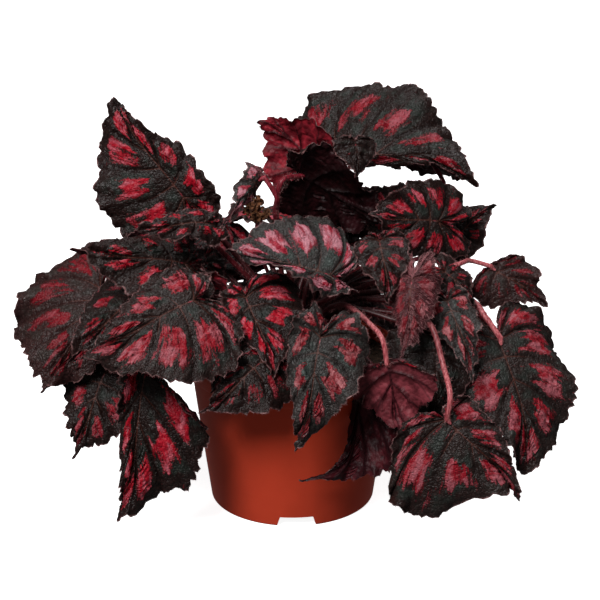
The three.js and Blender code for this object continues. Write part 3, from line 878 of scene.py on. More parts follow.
@dataclass(frozen=True)
class Leaf:
    """One leaf, in the same terms as the source of the solids.

    Attributes:
        name: The name of its solid.
        hilt: Where the stalk meets the blade.
        tip: The blade's point.
        face: The way that the upper face looks.
        wide: How wide the left and right halves are.
        ears: How far the left and right lobes reach back.
        arch: The bend of the midrib towards the tip, in degrees.
        heel: The bend of the ears, in degrees.
        droop: The bend of the left and right halves, in degrees.
        keel: How steeply the halves leave the midrib, in degrees.
        full: How much the halves gain towards the tip.
        swing: How far the halves are pushed towards the tip.
        sweep: How far the midrib bows to the left.
        twist: The turn about the midrib, in degrees.
        ruffle: How strong the edge's waves are.
        phase: Where the waves start, in turns.
        via: Points that the stalk passes.
        stalk: The way that the stalk runs as it reaches the blade.
        over: Whether it comes in over the upper face.
    """

    name: str
    hilt: tuple[float, float, float]
    tip: tuple[float, float, float]
    face: tuple[float, float, float]
    wide: tuple[float, float] = (1.0, 0.72)
    ears: tuple[float, float] = (1.0, 0.85)
    arch: float = 30
    heel: float = 20
    droop: tuple[float, float] = (20, 20)
    keel: float = 4
    full: tuple[float, float] = (0, 0)
    swing: tuple[float, float] = (0, 0)
    sweep: float = 0.05
    twist: float = 0
    ruffle: float = 1
    phase: float = 0
    via: tuple = ()
    stalk: tuple[float, float, float] | None = None
    over: bool = False

    @property
    def axes(self) -> tuple[Array, Array, Array, float]:
        """Work out how the blade lies.

        Returns:
            The way that the midrib starts, its normal, its left, and the blade's length.
        """
        chord = np.subtract(self.tip, self.hilt).astype(float)
        reach = float(np.linalg.norm(chord))
        chord /= reach
        face = np.array(self.face, dtype=float)
        face = unit(face - chord * face.dot(chord))
        half = math.radians(self.arch) / 2
        along = chord * math.cos(half) + face * math.sin(half)
        normal = face * math.cos(half) - chord * math.sin(half)
        length = reach if abs(half) < STRAIGHT else reach * half / math.sin(half)
        return along, normal, np.cross(normal, along), length

    def outline(self, place: Array) -> tuple[Array, Array]:
        """Follow the flat edge.

        Args:
            place: 0 at the tip and 1 at the notch, by the left half, or less than 0 by the right one.

        Returns:
            How far along the midrib and how far out each place is, in lengths of the blade.
        """
        side = (place < 0).astype(int)
        x, y = outline_curve(np.abs(place))
        scallop = 1 + SCALLOP_DEPTH * np.cos(np.pi * SCALLOP_COUNT * place) * np.sin(np.pi * np.abs(place))
        full = np.where(x > 0, np.array(self.full)[side] * np.sin(np.pi * np.clip(x, 0, 1) ** 2), 0)
        out = y * np.array(self.wide)[side] + full
        along = np.where(x < 0, x * np.array(self.ears)[side], x) + out * np.array(self.swing)[side]
        return along * scallop, np.where(side == 1, -out, out) * scallop

    def surface(self, x: Array, y: Array, lift: Array) -> Array:
        """Bend flat points into the blade's form.

        Args:
            x: How far along the midrib they are, in lengths of the blade.
            y: How far out they are, likewise.
            lift: How far they stand off the surface, in millimetres.

        Returns:
            The points in space.
        """
        along, normal, left, length = self.axes
        bow = np.where(x > 0, self.sweep * BOW_SCALE * x**2 * (1 - x), 0)
        out = y + bow
        bend = np.radians(np.where(x > 0, self.arch, self.heel)) / length
        ahead, down = arc(np.abs(x) * length, bend, 0.0)
        heading = bend * x * length
        tangent = along * np.cos(heading)[:, None] - normal * np.sin(heading)[:, None]
        up = normal * np.cos(heading)[:, None] + along * np.sin(heading)[:, None]
        turn = math.radians(self.twist) * np.maximum(x, 0)
        sideways = turned_about(np.broadcast_to(left, up.shape), tangent, turn)
        up = turned_about(up, tangent, turn)
        side = (out < 0).astype(int)
        droop = np.radians(np.array(self.droop, dtype=float)[side]) / (HALF_WIDTH * length)
        beside, below = arc(np.abs(out) * length, droop, math.radians(self.keel))
        midrib = np.array(self.hilt) + along * (ahead * np.sign(x))[:, None] - normal * down[:, None]
        sidewards = beside * np.where(side == 1, -1, 1)
        return midrib + sideways * sidewards[:, None] + up * (lift - below)[:, None]


USUAL_LEAVES = (
    Leaf("leaf_top_left", hilt=(-71, 0, 211), tip=(-116, 22, 273), face=(-0.1, -0.95, 0.3),
         wide=(1.12, 0.46), ears=(1.0, 0.8), arch=22, droop=(10, 20), full=(0.1, 0), sweep=0.04),
    Leaf("leaf_top_left_young", hilt=(-56, -24, 201), tip=(-102, -48, 201), face=(0.05, -0.6, 0.8),
         wide=(0.45, 0.5), ears=(0.8, 0.8), arch=40, droop=(40, 50)),
    Leaf("leaf_streaked_folded", hilt=(-20, -2, 226), tip=(-48, -19, 198), face=(0.5, -0.8, -0.3),
         wide=(0.5, 0.45), ears=(0.2, 0.2), arch=20, droop=(50, 50), keel=20, via=((-11, 4, 200),),
         stalk=(-0.5, 0.1, 0.85), over=True),
    Leaf("leaf_top_rolled", hilt=(17, 27, 226), tip=(-22, 38, 254), face=(-0.3, 0.8, 0.5), wide=(1.1, 1.2),
         ears=(0, 0), arch=20, droop=(30, 30), keel=0, swing=(0, 0.25), via=((27, 42, 190),),
         stalk=(-0.4, 0.2, 1)),
    Leaf("leaf_top_rolled_lobe", hilt=(41, 1, 249), tip=(42, -8, 227), face=(0.3, -0.9, 0.2),
         wide=(1.15, 1.15), ears=(0.3, 0.3), arch=20, via=((30, 38, 185), (36, 24, 222)),
         stalk=(0, -0.3, 1)),
    Leaf("leaf_top_hanging", hilt=(5, 13, 224), tip=(68, 17, 184), face=(-0.1, 0.8, 0.6), wide=(0.85, 0.8),
         ears=(0.1, 0.5), arch=20, via=((-10, 6, 190),)),
    Leaf("leaf_top_arched", hilt=(29, 45, 230), tip=(121, 17, 214), face=(0.1, -0.85, 0.5),
         wide=(1.12, 0.15), ears=(1.25, 0.7), arch=50, droop=(20, 60), full=(0.05, 0), swing=(0.1, 0),
         sweep=0.06),
    Leaf("leaf_top_behind", hilt=(100, 78, 214), tip=(53, 96, 213), face=(0, 0.5, 0.85), wide=(0.9, 0.8),
         via=((94, 64, 180),)),
    Leaf("leaf_right_high", hilt=(96, -1, 195), tip=(50, -14, 204), face=(-0.1, -0.85, 0.5),
         wide=(0.95, 1.1), ears=(1.5, 1.5), full=(0, 0.09)),
    Leaf("leaf_right_high_back", hilt=(77, 38, 184), tip=(46, 34, 208), face=(0.1, -0.9, 0.4),
         wide=(1.0, 1.0), ears=(0.7, 0.7)),
    Leaf("leaf_back_top", hilt=(36, 64, 174), tip=(46, 100, 138), face=(0, 0.4, 0.9), wide=(0.9, 0.5),
         ears=(1, 0.5)),
    Leaf("leaf_right_high_behind", hilt=(111, 38, 171), tip=(137, 44, 192), face=(0.2, -0.7, 0.6),
         wide=(0.8, 0.8)),
    Leaf("leaf_right_spotted", hilt=(56, -34, 192), tip=(60, -60, 158), face=(-0.1, -0.8, 0.6),
         wide=(0.75, 0.7), ears=(0.5, 0.4)),
    Leaf("leaf_right_young", hilt=(76, -54, 173), tip=(69, -76, 129), face=(-0.3, -0.9, 0.3),
         wide=(0.65, 0.6), keel=30),
    Leaf("leaf_right_dark", hilt=(100, -19, 166), tip=(117, -26, 148), face=(0.3, -0.7, 0.6),
         wide=(0.8, 0.8), via=((84, -24, 150),)),
    Leaf("leaf_right_striped", hilt=(100, -40, 153), tip=(113, -72, 111), face=(0.1, -0.9, 0.35),
         wide=(0.5, 0.55), ears=(0.45, 0.45)),
    Leaf("leaf_right_inner", hilt=(94, -51, 131), tip=(84, -68, 68), face=(0, -0.9, 0.4), wide=(0.6, 0.85),
         ears=(0.5, 0.2)),
    Leaf("leaf_far_right_small", hilt=(132, 5, 161), tip=(167, 0, 136), face=(0.2, -0.8, 0.5),
         wide=(0.85, 1.0), ears=(0.1, 0.2), swing=(0.6, 0), via=((88, -6, 160), (112, -9, 169)),
         stalk=(0.9, 0.2, -0.3), over=True),
    Leaf("leaf_right_large", hilt=(135, -35, 124), tip=(148, -72, 45), face=(0.3, -0.85, 0.4),
         wide=(0.95, 0.88), ears=(0.8, 1.35), arch=50, full=(0.12, 0), via=((117, -20, 147),),
         stalk=(0.56, -0.45, -0.7), over=True),
    Leaf("leaf_right_low", hilt=(97, -90, 92), tip=(143, -99, 40), face=(0.1, -0.9, 0.35),
         wide=(0.55, 1.65), ears=(0.3, 0.8), full=(0, -0.18), swing=(0.1, 0.35),
         via=((72, -38, 138), (87, -62, 146), (95, -78, 124)), stalk=(-0.1, 0.12, -1), over=True),
    Leaf("leaf_right_underside", hilt=(60, -82, 128), tip=(70, -86, 82), face=(0.3, 0.8, -0.4),
         wide=(1.0, 1.2), ears=(0.05, 0.05), swing=(0.35, 0.3), via=((34, -50, 154), (50, -71, 148)),
         stalk=(0.2, -0.25, -1)),
    Leaf("leaf_front_hanging_back", hilt=(50, -58, 108), tip=(8, -80, 46), face=(0.1, 0.9, -0.2),
         wide=(0.15, 0.75), ears=(0.2, 0.2), swing=(0, 0.5), sweep=-0.2),
    Leaf("leaf_front_centre", hilt=(18, -85, 145), tip=(1, -108, 78), face=(-0.1, -0.9, 0.4),
         wide=(0.75, 0.48), ears=(0.7, 0.6)),
    Leaf("leaf_centre_shiny", hilt=(24, -62, 178), tip=(-40, -62, 196), face=(0.05, -0.6, 0.8),
         wide=(0.3, 1.45), ears=(0.6, 0.6), full=(0, 0.1)),
    Leaf("leaf_centre_left", hilt=(-29, -58, 162), tip=(-12, -88, 119), face=(0, -0.8, 0.6),
         wide=(1.15, 0.5), ears=(0.7, 0.5)),
    Leaf("leaf_front_low_left", hilt=(-19, -80, 127), tip=(-56, -94, 99), face=(0, -0.8, 0.6),
         wide=(1.1, 0.6)),
    Leaf("leaf_left_large", hilt=(-61, -72, 165), tip=(-131, -104, 139), face=(-0.1, -0.75, 0.65),
         wide=(1.1, 0.62), ears=(0.6, 0.5), full=(0.03, 0)),
    Leaf("leaf_inner_left", hilt=(-34, -50, 124), tip=(-50, -74, 106), face=(-0.2, -0.8, 0.6),
         wide=(0.9, 0.9), ears=(0.6, 0.6)),
    Leaf("leaf_inner_right", hilt=(30, -63, 126), tip=(44, -76, 100), face=(0.1, -0.9, 0.4),
         wide=(0.7, 0.7), ears=(0.6, 0.6)),
    Leaf("leaf_left_hanging", hilt=(-92, -75, 118), tip=(-113, -88, 22), face=(-0.1, -0.95, 0.2),
         wide=(0.8, 0.24), ears=(0.1, 0.5), swing=(0.68, 0.6)),
    Leaf("leaf_left_low", hilt=(-122, -40, 104), tip=(-143, -60, 53), face=(-0.3, -0.8, 0.4),
         wide=(1.15, 0.85)),
    Leaf("leaf_left_middle", hilt=(-97, -34, 157), tip=(-141, -74, 127), face=(-0.3, -0.6, 0.7),
         wide=(0.75, 0.9), ears=(0.25, 0.25)),
    Leaf("leaf_far_left", hilt=(-126, -14, 153), tip=(-161, -52, 95), face=(-0.3, -0.9, 0.3),
         wide=(0.95, 1.25), ears=(0.5, 1.3), swing=(0, 0.45)),
    Leaf("leaf_left_upper", hilt=(-69, -26, 174), tip=(-137, -42, 188), face=(0, -0.65, 0.75),
         wide=(0.72, 0.6), ears=(0.6, 0.5), via=((-48, -40, 138),)),
    Leaf("leaf_left_inner", hilt=(-66, -6, 163), tip=(-42, -24, 158), face=(0.1, 0.8, 0.6),
         wide=(0.8, 0.6), ears=(0.3, 0.3)),
    Leaf("leaf_left_deep", hilt=(-58, 1, 168), tip=(-48, -3, 150), face=(0, -0.8, 0.6), wide=(0.85, 0.95),
         ears=(0.7, 0.7)),
    Leaf("leaf_back_left_high", hilt=(-50, 48, 180), tip=(-98, 92, 184), face=(-0.2, 0.5, 0.85),
         wide=(1.0, 0.75), ears=(1.35, 1.0), heel=40),
    Leaf("leaf_back_centre_high", hilt=(-22, 60, 183), tip=(-28, 114, 164), face=(0, 0.5, 0.85),
         wide=(0.5, 0.95), ears=(0.6, 0.85)),
    Leaf("leaf_back_right_high", hilt=(66, 74, 160), tip=(112, 112, 142), face=(0.3, 0.4, 0.85),
         wide=(0.8, 1.0)),
    Leaf("leaf_back_left", hilt=(-104, 44, 140), tip=(-158, 74, 100), face=(-0.5, 0.5, 0.7),
         wide=(1.0, 0.8)),
    Leaf("leaf_back_left_middle", hilt=(-44, 82, 140), tip=(-74, 118, 98), face=(-0.4, 0.5, 0.8),
         wide=(0.95, 0.9)),
    Leaf("leaf_back_right_middle", hilt=(38, 84, 137), tip=(54, 116, 96), face=(0.3, 0.6, 0.8),
         wide=(0.9, 0.9)),
    Leaf("leaf_back_centre", hilt=(-6, 96, 124), tip=(-12, 146, 66), face=(-0.1, 0.8, 0.6),
         wide=(1.0, 0.9), ears=(0.5, 0.5)),
    Leaf("leaf_back_right", hilt=(106, 66, 116), tip=(148, 96, 62), face=(0.5, 0.5, 0.7), wide=(0.8, 1.0)),
    Leaf("leaf_back_left_low", hilt=(-72, 84, 104), tip=(-104, 128, 50), face=(-0.4, 0.7, 0.6),
         wide=(0.9, 0.7)),
    Leaf("leaf_back_right_low", hilt=(58, 92, 104), tip=(84, 142, 54), face=(0.3, 0.8, 0.5),
         wide=(0.8, 0.9)),
)

MARBLED = {
    Marbling.SILVER_SHEEN: ("leaf_centre_shiny", "leaf_streaked_folded"),
    Marbling.FROSTED: ("leaf_right_striped", "leaf_front_centre"),
    Marbling.VEILED: ("leaf_left_large", "leaf_right_large", "leaf_right_low"),
    Marbling.LAVISH: ("leaf_centre_left", "leaf_left_hanging"),
    Marbling.DUSKY: ("leaf_far_left", "leaf_far_right_small"),
    Marbling.FLUSHED: ("leaf_right_young",),
    Marbling.DARK: ("leaf_top_rolled_lobe", "leaf_right_inner"),
    Marbling.MODEST: (
        "leaf_left_low", "leaf_left_middle", "leaf_front_low_left", "leaf_top_arched", "leaf_right_spotted",
    ),
    Marbling.SPARSE: (
        "leaf_top_left_young", "leaf_left_upper", "leaf_left_inner", "leaf_left_deep", "leaf_inner_left",
        "leaf_inner_right", "leaf_right_dark", "leaf_right_high_behind", "leaf_right_underside",
    ),
}
MARBLINGS = {name: kind for kind, names in MARBLED.items() for name in names}  # the others are bold

RAGGED_LEAVES = {
    "leaf_left_hanging": 1.5,
    "leaf_left_low": 1.6,
    "leaf_front_hanging_back": 1.5,
    "leaf_top_hanging": 1.3,
    "leaf_top_rolled": 1.4,
}  # how far the lobes of their edges stand out, where 1 is usual
EDGE_GROWTH = 0.5  # how far the lobes of an edge bring it out on average, in millimetres
GROWTHS = {
    "leaf_left_inner": 3.4,
    "leaf_left_deep": 2.6,
    "leaf_left_upper": 3.4,
    "leaf_back_left_high": 4.6,
    "leaf_back_left_middle": 6.5,
    "leaf_back_centre_high": 5.6,
    "leaf_back_top": 3.0,
    "leaf_back_centre": 6.0,
    "leaf_back_right_low": 4.5,
    "leaf_inner_left": 2.6,
    "leaf_inner_right": 3.2,
    "leaf_right_inner": 2.6,
    "leaf_right_dark": 4.4,
    "leaf_right_high_back": 2.6,
    "leaf_right_high_behind": 2.4,
    "leaf_back_right_middle": 3.4,
}  # the same for the leaves that close the view between the others
HAIRY_FACES = {"leaf_right_young": 1500, "leaf_streaked_folded": 350}  # how many hairs cover them

FINISHES = {
    Marbling.BOLD: BladeFinish(cover=-0.04, silver=0.03),
    Marbling.LAVISH: BladeFinish(cover=0.0, silver=0.02),
    Marbling.MODEST: BladeFinish(
        cover=-0.20, silver=0.02, red=(0.21, 0.0050, 0.012), pale=(0.31, 0.064, 0.082)
    ),
    Marbling.SPARSE: BladeFinish(cover=-0.34),
    # the shiny blades: their lighter grey ground and wider pale share are partly painted sheen
    Marbling.SILVER_SHEEN: BladeFinish(
        cover=0.16, silver=0.08, ground=(0.020, 0.017, 0.016), shade=(0.027, 0.037, 0.033),
        red=(0.28, 0.014, 0.030), pale=(0.48, 0.19, 0.23),
    ),
    Marbling.FROSTED: BladeFinish(
        cover=-0.06, silver=0.04, ground=(0.018, 0.015, 0.014), shade=(0.027, 0.037, 0.033),
        red=(0.20, 0.012, 0.018), pale=(0.36, 0.11, 0.12),
    ),
    Marbling.FLUSHED: BladeFinish(
        cover=0.20, ground=(0.045, 0.010, 0.012), shade=(0.030, 0.009, 0.010),
        red=(0.17, 0.012, 0.018), pale=(0.30, 0.09, 0.10),
    ),
    Marbling.VEILED: BladeFinish(
        cover=0.0, silver=0.05, fingers=1.7, ground=(0.0125, 0.0068, 0.0060),
        shade=(0.0160, 0.0210, 0.0180), red=(0.26, 0.0085, 0.0170), pale=(0.34, 0.085, 0.104),
    ),
    Marbling.DUSKY: BladeFinish(
        cover=-0.26, ground=(0.0190, 0.0074, 0.0068), shade=(0.0165, 0.0130, 0.0112),
        red=(0.16, 0.0040, 0.0095), pale=(0.21, 0.036, 0.046),
    ),
    Marbling.DARK: BladeFinish(cover=-1.2, veins=0.12),
}

UNDERSIDES = {
    "leaf_right_underside": Underside.DUSTY,
    "leaf_top_hanging": Underside.DEEP_SHADE,
    "leaf_top_rolled": Underside.BACKLIT,
    "leaf_left_inner": Underside.BACKLIT,
}

UNDERSIDE_FINISHES = {
    Underside.SHADED: UndersideFinish(),
    # painted shade: the darker copy for a lower face deep in shade
    Underside.DEEP_SHADE: UndersideFinish(
        (0.0090, 0.0016, 0.0021), (0.022, 0.0034, 0.0048), (0.0050, 0.0012, 0.0015)
    ),
    Underside.DUSTY: UndersideFinish((0.085, 0.0125, 0.017), (0.19, 0.032, 0.042), (0.026, 0.0038, 0.0060)),
    # painted light: the brighter red of a lower face that light shines through
    Underside.BACKLIT: UndersideFinish(
        (0.085, 0.0045, 0.0085), (0.25, 0.013, 0.023), (0.016, 0.0020, 0.0032)
    ),
}


# ---- blades

BLADE_SEED = 1000
COLUMN_DENSITY, COLUMN_LIMITS = 1.5, (64, 150)  # columns in a half blade, for each millimetre of length
ROW_DENSITY, ROW_LIMITS = 0.32, (12, 30)  # rows from the midrib to the edge, likewise
LEAST_COLUMNS = 3  # between two veins
LAST_PLACE = 0.995  # how far round the edge the columns go, next to the notch
ROW_CROWDING = 0.92  # under one, the rows lie closer together towards the edge
BRANCHING, BRANCHED, BRANCH_CURVE = 0.64, 0.52, 1.15  # where on the midrib the side veins leave it
VEIN_BOW, BOWED = 0.10, 0.95  # how far the side veins bow, and up to which place round the edge
NOTCH_VEIN = 0.94  # where the last vein of each half ends
FORK, FORK_SPREAD = 0.42, 0.34  # how far out a vein's twigs start, and how far apart they get
FIELD_WIDTH = 2.2  # of a field between two veins, for each unit of place round the edge
NO_RIB, NO_TWIG = 99.0, 9.0  # distances, in millimetres, that stand for none near
GRAIN_ACROSS, GRAIN_ALONG = 9, 0.11  # how fine the pattern's grain is
HALF_SHIFT, SEED_SHIFT = 200, 7  # set the patterns of halves and of blades apart

SMALL_BLADE, FLAT_BLADE = 55.0, 70.0  # lengths under which the edge gets finer and the relief lower
RAGGEDNESS = (0.85, 1.2)  # how far an edge's lobes stand out, from blade to blade
LOBE_PITCH, LOBE_DEPTH = 9.0, 3.6
TOOTH_PITCH, TOOTH_DEPTH = 3.2, 1.4
HEM_WAVES = ((19.0, 2.6, 3), (8.0, 2.9, 5), (4.0, 1.5, 8))  # each one's pitch, height and hold on the edge

PUFF_HEIGHT, GROOVE_DEPTH = 2.3, 0.6  # how far a blade stands up between its veins and sinks along them
GROOVE_WIDTH, TWIG_WIDTH = 0.8, 0.7
QUILT_ROWS = 3.4  # how many rows lie between two puffs along a vein
CRUMPLES = ((0.45, 7.0), (0.20, 3.2))  # the height and pitch of each irregular relief
BLADE_THICKNESS, EDGE_THINNING = 0.7, 0.45
RIDGE_HEIGHT, RIDGE_WIDTH = 0.9, 1.0  # of the veins on the lower face

DOWN_LENGTH, DOWN_RADIUS = (1.6, 4.2), 0.11  # of the long hairs on some faces
DOWN_HAIRS = (0.36, 0.13, 0.14)  # their colour


def lobes(rng: Generator, walk: Array, pitch: float, depth: float) -> Array:
    """Say how far irregular round lobes stand out along an edge.

    Args:
        rng: What draws their sizes.
        walk: How far along the edge each place is, in millimetres.
        pitch: The usual width of a lobe.
        depth: How far a large one stands out.

    Returns:
        How far the edge stands out at each place.
    """
    narrow, wide = 0.5, 1.5  # the least and greatest width of a lobe, as shares of the usual one
    count = int(walk[-1] / pitch * 2.5) + 4  # more than enough
    ends = np.cumsum(rng.uniform(narrow, wide, count)) * pitch
    index = np.searchsorted(ends, walk)
    start = np.concatenate([[0.0], ends])[index]
    part = np.clip((walk - start) / (ends[index] - start), 0, 1)
    sizes = rng.uniform(0.3, 1.0, count)[index]
    return depth * sizes * np.sin(np.pi * part**1.4) ** 0.7


def wavering(rng: Generator, walk: Array, pitch: float) -> Array:
    """Draw a smooth random number, usually within one of 0, along an edge.

    Args:
        rng: What draws it.
        walk: How far along the edge each place is, in millimetres.
        pitch: The distance over which it changes.

    Returns:
        The number at each place.
    """
    values = rng.normal(0, 0.8, int(walk[-1] / pitch) + 3)
    spot = walk / pitch
    low = spot.astype(int)
    part = spot - low
    part = part * part * (3 - 2 * part)
    return values[low] * (1 - part) + values[low + 1] * part


def rumple(rng: Generator, x: Array, y: Array, pitch: float) -> Array:
    """Draw a smooth random relief over a flat surface.

    Args:
        rng: What draws it.
        x: The places' first coordinate, in millimetres.
        y: Their second coordinate.
        pitch: The usual distance between two bumps.

    Returns:
        The height at each place, usually within one of 0.
    """
    waves = 9
    total = np.zeros_like(x)
    for _ in range(waves):
        turn, size = rng.uniform(0, np.pi), 2 * np.pi / pitch * rng.uniform(0.6, 1.4)
        total += np.cos(size * (x * np.cos(turn) + y * np.sin(turn)) + rng.uniform(0, 2 * np.pi))
    return total / math.sqrt(waves)


def branching_point(place: Array) -> Array:
    """Return how far along the midrib the lines to places round the edge leave it."""
    return BRANCHING * np.clip(1 - np.abs(place) / BRANCHED, 0, 1) ** BRANCH_CURVE


@dataclass
class Veins:
    """How each vertex of a blade lies among its veins.

    Attributes:
        cell: The number of the field between two main veins that it is in.
        part: How far across that field it is.
        middle: How near the field's middle it is, from 0 to 1.
        rib: Its distance from a main vein, in millimetres.
        twig: Its distance from a vein's twig, in millimetres.
    """

    cell: Array
    part: Array
    middle: Array
    rib: Array
    twig: Array


@dataclass
class Sheet:
    """A blade's two faces.

    Attributes:
        top: The points of the upper face.
        low: The points of the lower face.
        normals: The way that the upper face looks at each.
        outward: The way towards the edge at each.
        flipped: Whether the grid's own faces look down.
        seed: A number that sets the blade's patterns apart from those of others.
    """

    top: Array
    low: Array
    normals: Array
    outward: Array
    flipped: bool
    seed: float


class Blade:
    """One fine blade: a grid whose rows go round it and whose columns run from midrib to edge.

    Attributes:
        leaf: The leaf.
        rng: What draws all that varies from blade to blade.
        length: The blade's length, in millimetres.
        small: How much finer than usual its edge is.
        rows: How many rows lie past the midrib.
        ends: Where round the edge each column ends.
        walk: How far along the edge that is, in millimetres.
        place: The same as ends, for each vertex.
        run: How far along its column each vertex is, from 0 to 1.
        x: How far along the midrib each vertex is, in lengths of the blade.
        y: How far out it is, likewise.
        veins: How it lies among the veins.
    """

    def __init__(self, leaf: Leaf, number: int) -> None:
        """Lay the flat blade out.

        Args:
            leaf: The leaf.
            number: Its number, which seeds what varies from blade to blade.
        """
        self.leaf = leaf
        self.rng = np.random.default_rng(BLADE_SEED + number)
        self.length = leaf.axes[3]
        self.small = min(1.0, self.length / SMALL_BLADE)
        self.rows = int(np.clip(self.length * ROW_DENSITY, *ROW_LIMITS))
        self.ends = self.column_ends()
        edge_x, edge_y = leaf.outline(self.ends)
        steps = np.hypot(np.diff(edge_x), np.diff(edge_y))
        self.walk = np.concatenate([[0.0], np.cumsum(steps)]) * self.length
        self.place = self.on_all_rows(self.ends)
        self.run = np.repeat(np.linspace(0, 1, self.rows + 1) ** ROW_CROWDING, len(self.ends))
        self.x, self.y = self.flat_points(self.place, self.run, self.on_all_rows(self.teeth()))
        self.veins = self.lie_among_veins()

    def column_ends(self) -> Array:
        """Share the columns out, so that one ends at each main vein.

        Returns:
            Where round the edge they end.
        """
        half = int(np.clip(self.length * COLUMN_DENSITY, *COLUMN_LIMITS))
        bounds = np.array(VEINS)
        counts = np.maximum(np.round(np.diff(bounds) * half).astype(int), LEAST_COLUMNS)
        fields = zip(bounds[:-1], bounds[1:], counts)
        side = np.concatenate([np.linspace(low, high, count, endpoint=False) for low, high, count in fields])
        ends = np.concatenate([-side[:0:-1], side])
        return ends[np.abs(ends) < LAST_PLACE]

    def on_all_rows(self, values: Array) -> Array:
        """Give every row the columns' values."""
        return np.tile(values, self.rows + 1)

    def as_grid(self, values: Array) -> Array:
        """Return vectors row by row and column by column."""
        return values.reshape(self.rows + 1, len(self.ends), 3)

    def teeth(self) -> Array:
        """Draw the edge's lobes and teeth.

        Returns:
            How far the edge stands out at each column, in lengths of the blade.
        """
        ragged = RAGGED_LEAVES.get(self.leaf.name, self.rng.uniform(*RAGGEDNESS)) * self.small
        teeth = lobes(self.rng, self.walk, LOBE_PITCH * self.small, LOBE_DEPTH * ragged)
        teeth = teeth + lobes(self.rng, self.walk, TOOTH_PITCH, TOOTH_DEPTH * ragged)
        return (teeth - teeth.mean() + GROWTHS.get(self.leaf.name, EDGE_GROWTH)) / self.length

    def flat_points(self, place: Array, run: Array, teeth: Array) -> tuple[Array, Array]:
        """Find flat points on the lines that run from the midrib to the edge.

        Args:
            place: The place round the edge where each line ends.
            run: How far along its line each point is.
            teeth: How far the edge's teeth stand out there, in lengths of the blade.

        Returns:
            How far along and out the points are.
        """
        edge_x, edge_y = self.leaf.outline(place)
        start = branching_point(place)
        way_x, way_y = edge_x - start, edge_y
        grow = 1 + teeth * run**4 / np.maximum(np.hypot(way_x, way_y), 1e-6)
        bow = VEIN_BOW * np.sin(np.pi * run) * np.abs(way_y) * (np.abs(place) < BOWED)
        return start + way_x * run * grow - bow, way_y * run * grow

    def lie_among_veins(self) -> Veins:
        """Measure how each vertex lies among the veins.

        Returns:
            The measures.
        """
        bounds = np.array(VEINS)
        round_edge = np.abs(self.place)
        cell = np.clip(np.searchsorted(bounds, round_edge, side="right") - 1, 0, len(bounds) - 2)
        part = (round_edge - bounds[cell]) / (bounds[cell + 1] - bounds[cell])
        nearest = np.where(part < 0.5, bounds[cell], bounds[cell + 1])
        nearest = np.where(nearest == bounds[-1], NOTCH_VEIN, nearest)
        half = np.where(self.place < 0, -1, 1)
        vein_x, vein_y = self.flat_points(nearest * half, self.run, np.zeros_like(self.run))
        rib = np.hypot(self.x - vein_x, self.y - vein_y) * self.length
        rib = np.minimum(rib, np.where(self.x > 0, np.abs(self.y) * self.length, NO_RIB))
        spread = FORK_SPREAD * np.clip((self.run - FORK) / (1 - FORK), 0, 1)
        to_twig = np.minimum(np.abs(part - spread), np.abs(part - 1 + spread))
        width = np.abs(bounds[cell + 1] - bounds[cell]) * FIELD_WIDTH * self.length * self.run
        twig = np.where(self.run > FORK, to_twig * width, NO_TWIG)
        return Veins(cell, part, 1 - np.abs(2 * part - 1), rib, twig)

    def lift(self) -> Array:
        """Draw the waves of the edge.

        Returns:
            How far they lift each vertex, in millimetres.
        """
        hem = 1 - np.abs(self.place) ** 6
        wave = np.sin(np.pi * RUFFLE_WAVES * self.place + 2 * np.pi * self.leaf.phase)
        lift = self.leaf.ruffle * RUFFLE_HEIGHT * self.length * self.run**3 * wave * hem
        for pitch, height, hold in HEM_WAVES:
            waves = self.on_all_rows(wavering(self.rng, self.walk, pitch * self.small))
            lift += height * self.small * self.run**hold * hem * waves
        return lift

    def relief(self, seed: float) -> Array:
        """Draw the puffs between the veins, the grooves along them and an irregular crumpling.

        Args:
            seed: What sets the blade apart from others.

        Returns:
            How far each vertex stands up, in millimetres.
        """
        veins, run = self.veins, self.run
        puff = (1 - (1 - veins.middle) ** 2) * np.clip(run * 3, 0, 1) * (1 - 0.6 * run**4)
        turns = run * self.rows / QUILT_ROWS + veins.cell * 0.37 + 0.12 * np.sin(seed + 9 * self.place)
        quilt = 0.35 + 0.65 * np.sin(2 * np.pi * turns) ** 2
        puff = puff * quilt * min(1.0, self.length / FLAT_BLADE)
        groove = np.exp(-(veins.rib / GROOVE_WIDTH) ** 2) + 0.6 * np.exp(-(veins.twig / TWIG_WIDTH) ** 2)
        x, y = self.x * self.length, self.y * self.length
        crumple = sum(height * rumple(self.rng, x, y, pitch) for height, pitch in CRUMPLES)
        return PUFF_HEIGHT * puff - GROOVE_DEPTH * groove + crumple * np.clip(2 * run, 0, 1)

    def sheet(self) -> Sheet:
        """Bend the flat blade into its form and give it its relief and its thickness.

        Returns:
            Its two faces.
        """
        middle = self.leaf.surface(self.x, self.y, self.lift())
        grid = self.as_grid(middle)
        around = np.roll(grid, -1, axis=1) - np.roll(grid, 1, axis=1)
        outward = np.gradient(grid, axis=0)
        normals = np.cross(around, outward).reshape(-1, 3)
        usual = self.leaf.axes[1]
        normals = np.where(np.linalg.norm(normals, axis=1)[:, None] > TINY, unit(normals), usual)
        sign = np.sign(np.sum(self.as_grid(normals)[self.rows // 2] @ usual)) or 1.0
        normals *= sign
        columns = len(self.ends)
        heel = np.abs(self.ends)[:, None] > 0.5
        normals[:columns] = np.where(heel, usual, normals[columns:2 * columns])

        seed = self.rng.uniform(0, 100)
        raised = middle + normals * self.relief(seed)[:, None]
        half = BLADE_THICKNESS * (1 - EDGE_THINNING * self.run**4) / 2
        ridge = RIDGE_HEIGHT * np.exp(-(self.veins.rib / RIDGE_WIDTH) ** 2) * (1 - 0.8 * self.run)
        top = raised + normals * half[:, None]
        low = raised - normals * (half + ridge)[:, None]
        return Sheet(top, low, normals, outward.reshape(-1, 3), sign < 0, seed)

